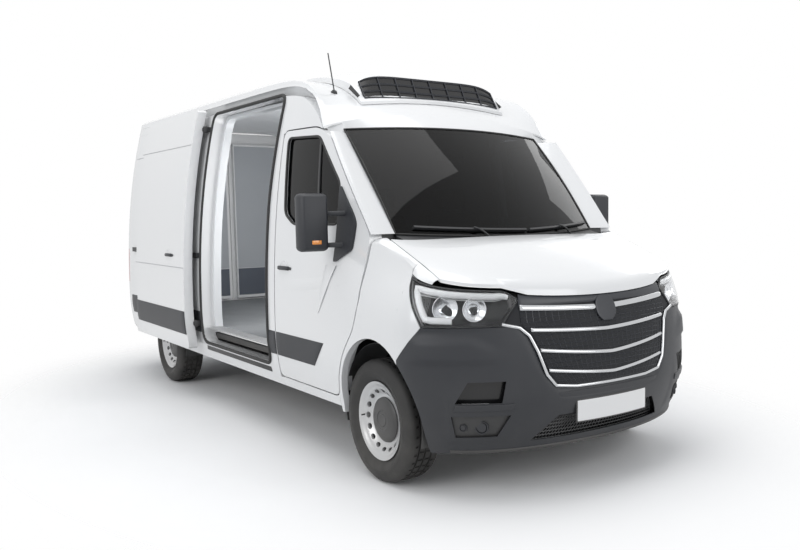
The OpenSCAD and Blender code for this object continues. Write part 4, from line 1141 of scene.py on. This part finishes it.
def grille_t(z):
    """Half the width of the grille's opening at a height, as an angle on the nose."""
    ends = ((596, 19.9), (660, 23.3), (865, 27.9), (915, 31.4), (1030, 31.6), (1060, 31.6))
    for (z0, t0), (z1, t1) in zip(ends, ends[1:]):
        if z <= z1:
            return mix(t0, t1, (z - z0) / (z1 - z0))
    return ends[-1][1]


def bumper_top(t):
    """Height of the bumper's upper edge at t degrees round the nose."""
    ends = ((0, 596), (20, 596), (23.4, 660), (28, 865), (31.6, 912), (72, 914), (90, 732))
    for (t0, z0), (t1, z1) in zip(ends, ends[1:]):
        if abs(t) <= t1:
            return mix(z0, z1, (abs(t) - t0) / (t1 - t0))
    return ends[-1][1]


def swell(a, b, q):
    """A soft step from 0 at a to 1 at b."""
    q = max(0, min(1, (q - a) / (b - a)))
    return q * q * (3 - 2 * q)


def bumper_relief(t, z):
    """How far the moulding stands out: a shoulder under the lamp and a fuller lower corner."""
    t = abs(t)
    shoulder = swell(37, 52, t) * (1 - swell(70, 84, t))
    crest = 866 - 70 * max(0, (50 - t) / 12)
    out = 13 * shoulder * swell(728, 752, z) * (1 - swell(crest - 34, crest, z))
    out -= 8 * shoulder * swell(crest - 6, crest + 10, z) * (1 - swell(896, 914, z))
    out -= 9 * (1 - swell(12, 26, t)) * swell(520, 545, z) * (1 - swell(560, 596, z))
    pod = swell(33, 36, t) * (1 - swell(60.5, 64, t)) * swell(316, 338, z) * (1 - swell(500, 660, z))
    from_grille = math.hypot(max(0, t - grille_t(max(z, 596))) / 3.4, max(0, 596 - z) / 42)
    out -= 10 * (1 - swell(0.3, 1, from_grille)) * (1 - swell(885, 915, z))
    return out + 5 * pod


def bumper_at(u, v):
    t = math.copysign(89.7 * abs(2 * u - 1) ** 0.9, 2 * u - 1)
    z = mix(255, bumper_top(t), v)
    return nose_at(t, z, 4 - bumper_relief(t, z))


bumper = sheet("bumper_moulding", 150, 44, bumper_at, 0.005)
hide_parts("front_bumper")
arch_tall, arch_half, past_side = 412, 391, 1060
arch_middle = at(45, 0, 405)
arch_tool = turned("tool", [(0, -past_side), (0, past_side), (arch_tall, past_side),
                            (arch_tall, -past_side)], arch_middle, 72)
for vertex in arch_tool.data.vertices:
    vertex.co.x = arch_middle.x + (vertex.co.x - arch_middle.x) * arch_half / arch_tall
    if vertex.co.z < arch_middle.z:
        vertex.co.z -= 0.3
cut(bumper, arch_tool)
cut(bumper, nose_patch("tool", (-29, 29, 306), (-20, 20, 438), 5, 0.13, 40, 6))
for s in (-1, 1):
    mouth = nose_patch("tool", (s * 40.5, s * 58.5, 532), (s * 38.5, s * 52.5, 642), 2, 0.075, 10, 5)
    cut(bumper, mouth)
    socket = nose_patch("tool", (s * 41.5, s * 58.5, 346), (s * 37.0, s * 60.0, 462), -12, 0.052, 10, 5)
    cut(bumper, socket)
put_on(bumper, trim_charcoal, "body", 40)
mesh_black = finish_of("mesh_black", (0.014, 0.015, 0.018), (0.024, 0.026, 0.030), 0.42, drift=8,
                       grain=500, bump=0.2, dust=0.2)


def lattice(name, patch, wire):
    """Wires in place of a patch's edges."""
    net = patch.modifiers.new("net", "WIREFRAME")
    net.thickness = wire
    net.use_replace = True
    pick(patch)
    bpy.ops.object.modifier_apply(modifier="net")
    patch.name = name
    return patch


intake = nose_patch("net", (-29.5, 29.5, 300), (-20.5, 20.5, 444), 34, 0, 44, 7)
put_on(lattice("intake_mesh", intake, 0.006), mesh_black, "body")
# A near-black sheet behind the mesh: painted shade for the dark inside the intake.
behind = sheet("intake_back", 44, 10, lambda u, v: nose_at(
    (2 * u - 1) * mix(33, 26, v), mix(284, 462, v),
    58 - 46 * max(abs(2 * u - 1), abs(2 * v - 1)) ** 12), 0.003)
put_on(behind, frit_and_shade_black, "body")
filler = nose_patch("plate_backing", (-21, 21, 505), (-21, 21, 560), 7, 0.005, 20, 5, 0.001)
put_on(filler, trim_charcoal, "body", 60)
plate_white = finish_of("plate_white", (0.80, 0.80, 0.80), (0.84, 0.84, 0.84), 0.35,
                        bump=0.03, dust=0.1, coat=0.4)
plate_bow = 20
plate = sheet("plate_blank", 20, 6, lambda u, v: Vector((
    at(866 - plate_bow * (2 * u - 1) ** 2, 0, 0).x, mix(-0.26, 0.26, u), mix(0.394, 0.504, v))),
    0.004, 0.0012)
put_on(plate, plate_white, "body", 50)
holder = sheet("plate_holder", 20, 6, lambda u, v: Vector((
    at(861 - plate_bow * (2 * u - 1) ** 2, 0, 0).x, mix(-0.268, 0.268, u), mix(0.386, 0.512, v))),
    0.006, 0.002)
put_on(holder, trim_black, "body", 50)
for s, hand in ((-1, "right"), (1, "left")):
    # The scoop's back is a near-black sheet: painted shade for the dark inside the scoop.
    scoop = nose_patch(f"scoop_back_{hand}", (s * 39.5, s * 59.5, 526), (s * 37.5, s * 53.5, 648),
                       40, 0.003, 10, 5)
    put_on(scoop, frit_and_shade_black, "body")
    floor_ledge = nose_patch(f"scoop_ledge_{hand}", (s * 36.5, s * 59, 492), (s * 36.0, s * 58, 526),
                             -3, 0.012, 16, 4, 0.003)
    put_on(floor_ledge, trim_charcoal, "body", 50)
    pod = nose_patch(f"pod_panel_{hand}", (s * 41.0, s * 59.0, 342), (s * 36.5, s * 60.5, 466),
                     13, 0.004, 12, 6)
    put_on(pod, trim_black, "body")
    for t, z, r in ((48, 402, 34), (55.5, 402, 19)):
        spot = nose_at(s * t, z, 8)
        facing = (nose_at(s * t, z, 0) - nose_at(s * t, z, 20)).normalized()
        section = [(0, -12), (0, 6), (r * 0.72, 5), (r * 0.8, 0), (r * 0.88, 8), (r, 8),
                   (r * 1.05, 4), (r * 1.05, -12)]
        blank = turned(f"fog_blank_{r}_{hand}", section, spot, 48, axis=facing,
                       out=facing.cross(Vector((0, 0, 1))).normalized())
        put_on(blank, trim_charcoal, "body")
lip_line = [(-62, 268, 6), (-40, 262, 6), (0, 260, 6), (40, 262, 6), (62, 268, 6)]
lip = put_on(nose_line("bumper_lip", lip_line, 0.011, 16), trim_black, "body", 60)

# ---- grille ---------------------------------------------------------------
# A moulded panel, near-black and matt as painted shade for the dark seen
# through its rectangular mesh, with four bright bars across it and a bright U
# round it. The middle carries a plain blank.

chrome = finish_of("chrome", (0.50, 0.51, 0.53), (0.58, 0.59, 0.60), 0.14, metal=1.0, drift=10,
                   grain=500, bump=0.02, dust=0.15)
grille_dark = finish_of("grille_dark", (0.016, 0.018, 0.024), (0.026, 0.029, 0.037), 0.32, drift=8,
                        grain=500, bump=0.12, dust=0.2)
# Near-black and matt on the panel behind the mesh: painted shade for the dark seen through the grille's
# holes.
grille_hole_shade = finish_of("grille_hole_shade", (0.006, 0.007, 0.009), (0.010, 0.011, 0.014), 0.8, drift=8,
                         grain=300, bump=0.1, dust=0.0)
shell_of("grille", "grille_panel", grille_hole_shade)


def lip_z(t):
    """Height of the bonnet's lip above the grille and lamps, t degrees round."""
    t = abs(t)
    return (1047 + 24 * (t / 31) ** 2 if t < 31 else mix(1071, 1112, (t - 31) / 5) if t < 36
            else mix(1112, 1180, (t - 36) / 51))


net = sheet("net", 27, 17, lambda u, v: nose_at((2 * u - 1) * (grille_t(mix(598, 998, v)) - 0.3),
                                                mix(598, 998, v), 13))
put_on(lattice("grille_mesh", net, 0.009), grille_dark, "body")
bars = ((1004, 980, 31, 26), (890, 865, 28, 18), (785, 742, 25.6, 17), (680, 637, 23.4, 16))
for i, (z_out, z_in, reach, tall) in enumerate(bars):
    def place(u, v):
        t = (2 * u - 1) * reach
        return nose_at(t, mix(z_in, z_out, (abs(t) / reach) ** 1.2) + tall * (v - 0.5),
                       2 + 5 * (2 * v - 1) ** 2)
    put_on(sheet(f"grille_bar_{i + 1}", 48, 6, place, 0.004, 0.001), chrome, "body", 60)
outer_line = [(38, 926, 5), (31.8, 905, 4), (28.8, 862, 3), (26.6, 780, 3), (24.3, 660, 4),
              (21.4, 600, 7), (14, 584, 10), (0, 582, 10.5)]
for s, hand in ((-1, "right"), (1, "left")):
    trim = nose_line(f"grille_surround_{hand}", [(s * t, z, d) for t, z, d in outer_line],
                     0.0095, 8)
    put_on(trim, chrome, "body", 60)
brow = sheet("grille_brow", 48, 6, lambda u, v: nose_at(
    (2 * u - 1) * 31.5, mix(1008, lip_z((2 * u - 1) * 31.5) - 4, v), 5 + 5 * (2 * v - 1) ** 2),
    0.005, 0.001)
put_on(brow, grille_dark, "body", 60)
blank = sheet("grille_blank", 12, 16, lambda u, v: nose_at(
    (2 * u - 1) * 3.6 * (1 - 0.6 * abs(2 * v - 1) ** 2.6), mix(905, 1040, v),
    1 + 3 * abs(2 * v - 1) ** 2), 0.008, 0.002)
put_on(blank, grille_dark, "body", 60)

# ---- headlamps ------------------------------------------------------------
# A clear cover over a dark housing: a white C-shaped running light, and two
# bright bowls with their lenses.

clear_cover = tinted_glass("clear_cover", (0.96, 0.97, 0.98))
reflector = finish_of("reflector", (0.84, 0.85, 0.87), (0.90, 0.90, 0.91), 0.22, metal=1.0, drift=6,
                      grain=300, bump=0.05, dust=0.0)


def bonnet_height(x, y):
    """Height of the bonnet's skin, in mm."""
    return 1357 - 235 * (max(0, x - 60) / 655) ** 1.7 - (
        118 * (1 - math.exp(-max(0, x) / 185)) * (abs(y) / 930) ** 2.5)


def lamp_lean(t, z):
    """The lamp's outer parts lean back as they climb."""
    return t + (t - 32) * 0.4 * max(0, min(1, (z - 925) / 230))


def lamp_high(t):
    """Height of the lamp's upper edge, just under the bonnet."""
    p = nose_at(t, 1090)
    return min(lip_z(t), bonnet_height((p.x - axle_x) * 1000, p.y * 1000) - 18) - 6


def lamp_at(side, u, v, d):
    """A point of the lamp, u outwards and v up from 0 to 1, sunk by d mm."""
    t = mix(32, 71.9, u)
    foot = mix(1030, 915, (t - 32) / 6) if t < 38 else 915
    head = mix(1050, lamp_high(36), (t - 32) / 4) if t < 36 else lamp_high(lamp_lean(t, 1100))
    z = mix(foot, head, v)
    p = nose_at(lamp_lean(t, z), z, d)
    return Vector((p.x, side * p.y, p.z))


def wing_tip_at(side, u, v):
    """The wing's corner that closes the gap between the lamp's head and the bonnet."""
    t = mix(88.6, 69.5, u)
    p = nose_at(t, lamp_high(t) + 3, 1)
    edge = Vector((p.x, side * p.y, p.z))
    fold = at(mix(298, 462, u), side * mix(878, 866, u),
              bonnet_height(mix(298, 462, u), 872) - 1 - 8 * u)
    return edge.lerp(fold, v) + Vector((0, side * 0.004, 0.004)) * math.sin(math.pi * v)


for s, hand in ((-1, "right"), (1, "left")):
    cover = sheet(f"lamp_cover_{hand}", 36, 14, lambda u, v: lamp_at(s, u, v, 2.5), 0.003)
    put_on(cover, clear_cover, "body", 60)
    if s < 0:
        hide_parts("headlamps")
    case = sheet(f"lamp_case_{hand}", 36, 14, lambda u, v: lamp_at(
        s, mix(0.03, 0.97, u), mix(0.04, 0.96, v),
        72 - 56 * max(abs(2 * u - 1), abs(2 * v - 1)) ** 8), 0.002)
    put_on(case, trim_black, "body", 50)
    border = [lamp_at(s, q / 24, 0.02, 7) for q in range(25)]
    border += [lamp_at(s, 0.995, q / 8, 7) for q in range(1, 9)]
    border += [lamp_at(s, 1 - q / 24, 0.98, 7) for q in range(1, 25)]
    border += [lamp_at(s, 0.005, 1 - q / 6, 7) for q in range(1, 6)]
    edging = put_on(tube(f"lamp_border_{hand}", border, 0.006, closed=True), trim_black, "body", 60)
    run = [lamp_at(s, mix(0.07, 0.92, q / 16), 0.83, 26) for q in range(17)]
    run += [lamp_at(s, 0.925, mix(0.82, 0.17, q / 8), 26) for q in range(1, 9)]
    run += [lamp_at(s, mix(0.91, 0.62, q / 6), 0.15, 26) for q in range(1, 7)]
    daylight = put_on(tube(f"running_light_{hand}", run, 0.019, sides=4), lamp_white, "body", 60)
    for k, (u, v, r) in enumerate(((0.37, 0.46, 60), (0.66, 0.45, 64))):
        spot = lamp_at(s, u, v, 46)
        facing = Vector((0.93, s * 0.36, 0)).normalized()
        across = facing.cross(Vector((0, 0, 1))).normalized()
        section = [(0, -26), (16, -24), (32, -14), (r - 6, 2), (r, 10), (r + 3, 10), (r + 1, 0),
                   (34, -18), (16, -28), (0, -30)]
        bowl = turned(f"lamp_bowl_{k + 1}_{hand}", section, spot, 56, axis=facing, out=across)
        put_on(bowl, reflector, "body", 50)
        bulb = turned(f"lamp_lens_{k + 1}_{hand}", [(0, -14), (0, 8), (12, 5), (20, -2), (22, -14)],
                      spot, 40, axis=facing, out=across)
        put_on(bulb, clear_cover, "body", 60)
    tip = sheet(f"wing_tip_{hand}", 16, 6, lambda u, v: wing_tip_at(s, u, v), 0.003)
    put_on(tip, white_paint, "body", 60)
    shelf = sheet(f"lamp_shelf_{hand}", 20, 3, lambda u, v: lamp_at(
        s, mix(0.10, 0.90, u), mix(0.70, 0.76, v), mix(20, 60, v)), 0.002)
    put_on(shelf, wheel_silver, "body", 50)

# ---- wipers ---------------------------------------------------------------
# Two black arms on spindles in the scuttle, each with a long rubber blade.

blades = shell_of("wipers", "wiper_blades", trim_black)
for k, (u0, u1, v1) in enumerate(((-0.28, -0.40, 0.045), (0.62, 0.50, 0.045))):
    a, b = glass_at(u0, -0.03, -10), glass_at(u1, v1, -26)
    bow = Vector((0.004, 0, 0.012))
    arm = [a.lerp(b, q / 10) + bow * math.sin(math.pi * q / 10) for q in range(11)]
    put_on(tube(f"wiper_arm_{k + 1}", arm, 0.006), trim_black, "body", 60)

# ---- roof unit and antenna ------------------------------------------------
# The refrigeration unit's condenser sits under a white shell on the cab
# roof, behind a dark louvred grille; a whip antenna stands beside it.

hood = shell_of("condenser_housing", "condenser_shell", white_paint, angle=40)
for s, hand in ((-1, "right"), (1, "left")):
    slit = sheet(f"unit_slit_{hand}", 10, 3, lambda u, v: Vector((
        mix(0.978, 1.092, u) + 0.030 * v, s * 0.5812,
        mix(2.304, 2.234, u) + 0.020 * v * (1 - 0.5 * u))), 0.0025)
    put_on(slit, frit_and_shade_black, "body")


def unit_at(w, q, out=0):
    """The unit's shell, w mm left of the middle, from the foot of its front (q 0) over its top."""
    x = -785 - 104 * min(1, q * 3) - 656 * max(0, (q - 0.34) / 0.66)
    roof = roof_at(x, w / roof_edge(x)[1]).z * 1000
    top = 2190 + 210 * q * 3
    if q >= 0.34:
        top = 2400 + 62 * math.sin(math.radians(110) * (q - 0.34) / 0.66)
    r = 1 - 0.5 * abs(w / 580) ** 6
    return at(x + out * 0.9, w, max(roof + 3 + 20 * (1 - q), (top - roof) * r + roof) + out * 0.45)


# A near-black sheet behind the louvres: painted shade for the gaps between them.
back = sheet("condenser_back", 30, 8, lambda u, v: unit_at(
    mix(-545, 545, u), mix(0.065, 0.325, v), 1.5), 0.003)
put_on(back, frit_and_shade_black, "body", 60)
bars = []
for i in range(4):
    q = mix(0.08, 0.31, i / 3)
    bars.append(sheet("louvre", 30, 2, lambda u, v: unit_at(
        mix(-540, 540, u), q + 0.012 * (v - 0.5), 4 + 9 * v), 0.004))
for i in range(9):
    w = mix(-540, 540, i / 8)
    bars.append(sheet("divider", 2, 8, lambda u, v: unit_at(
        w + 7 * (u - 0.5), mix(0.075, 0.315, v), 7), 0.009))
louvres = put_on(joined("condenser_louvres", bars), grille_dark, "body", 40)
mast = shell_of("antenna", "antenna_whip", trim_black)
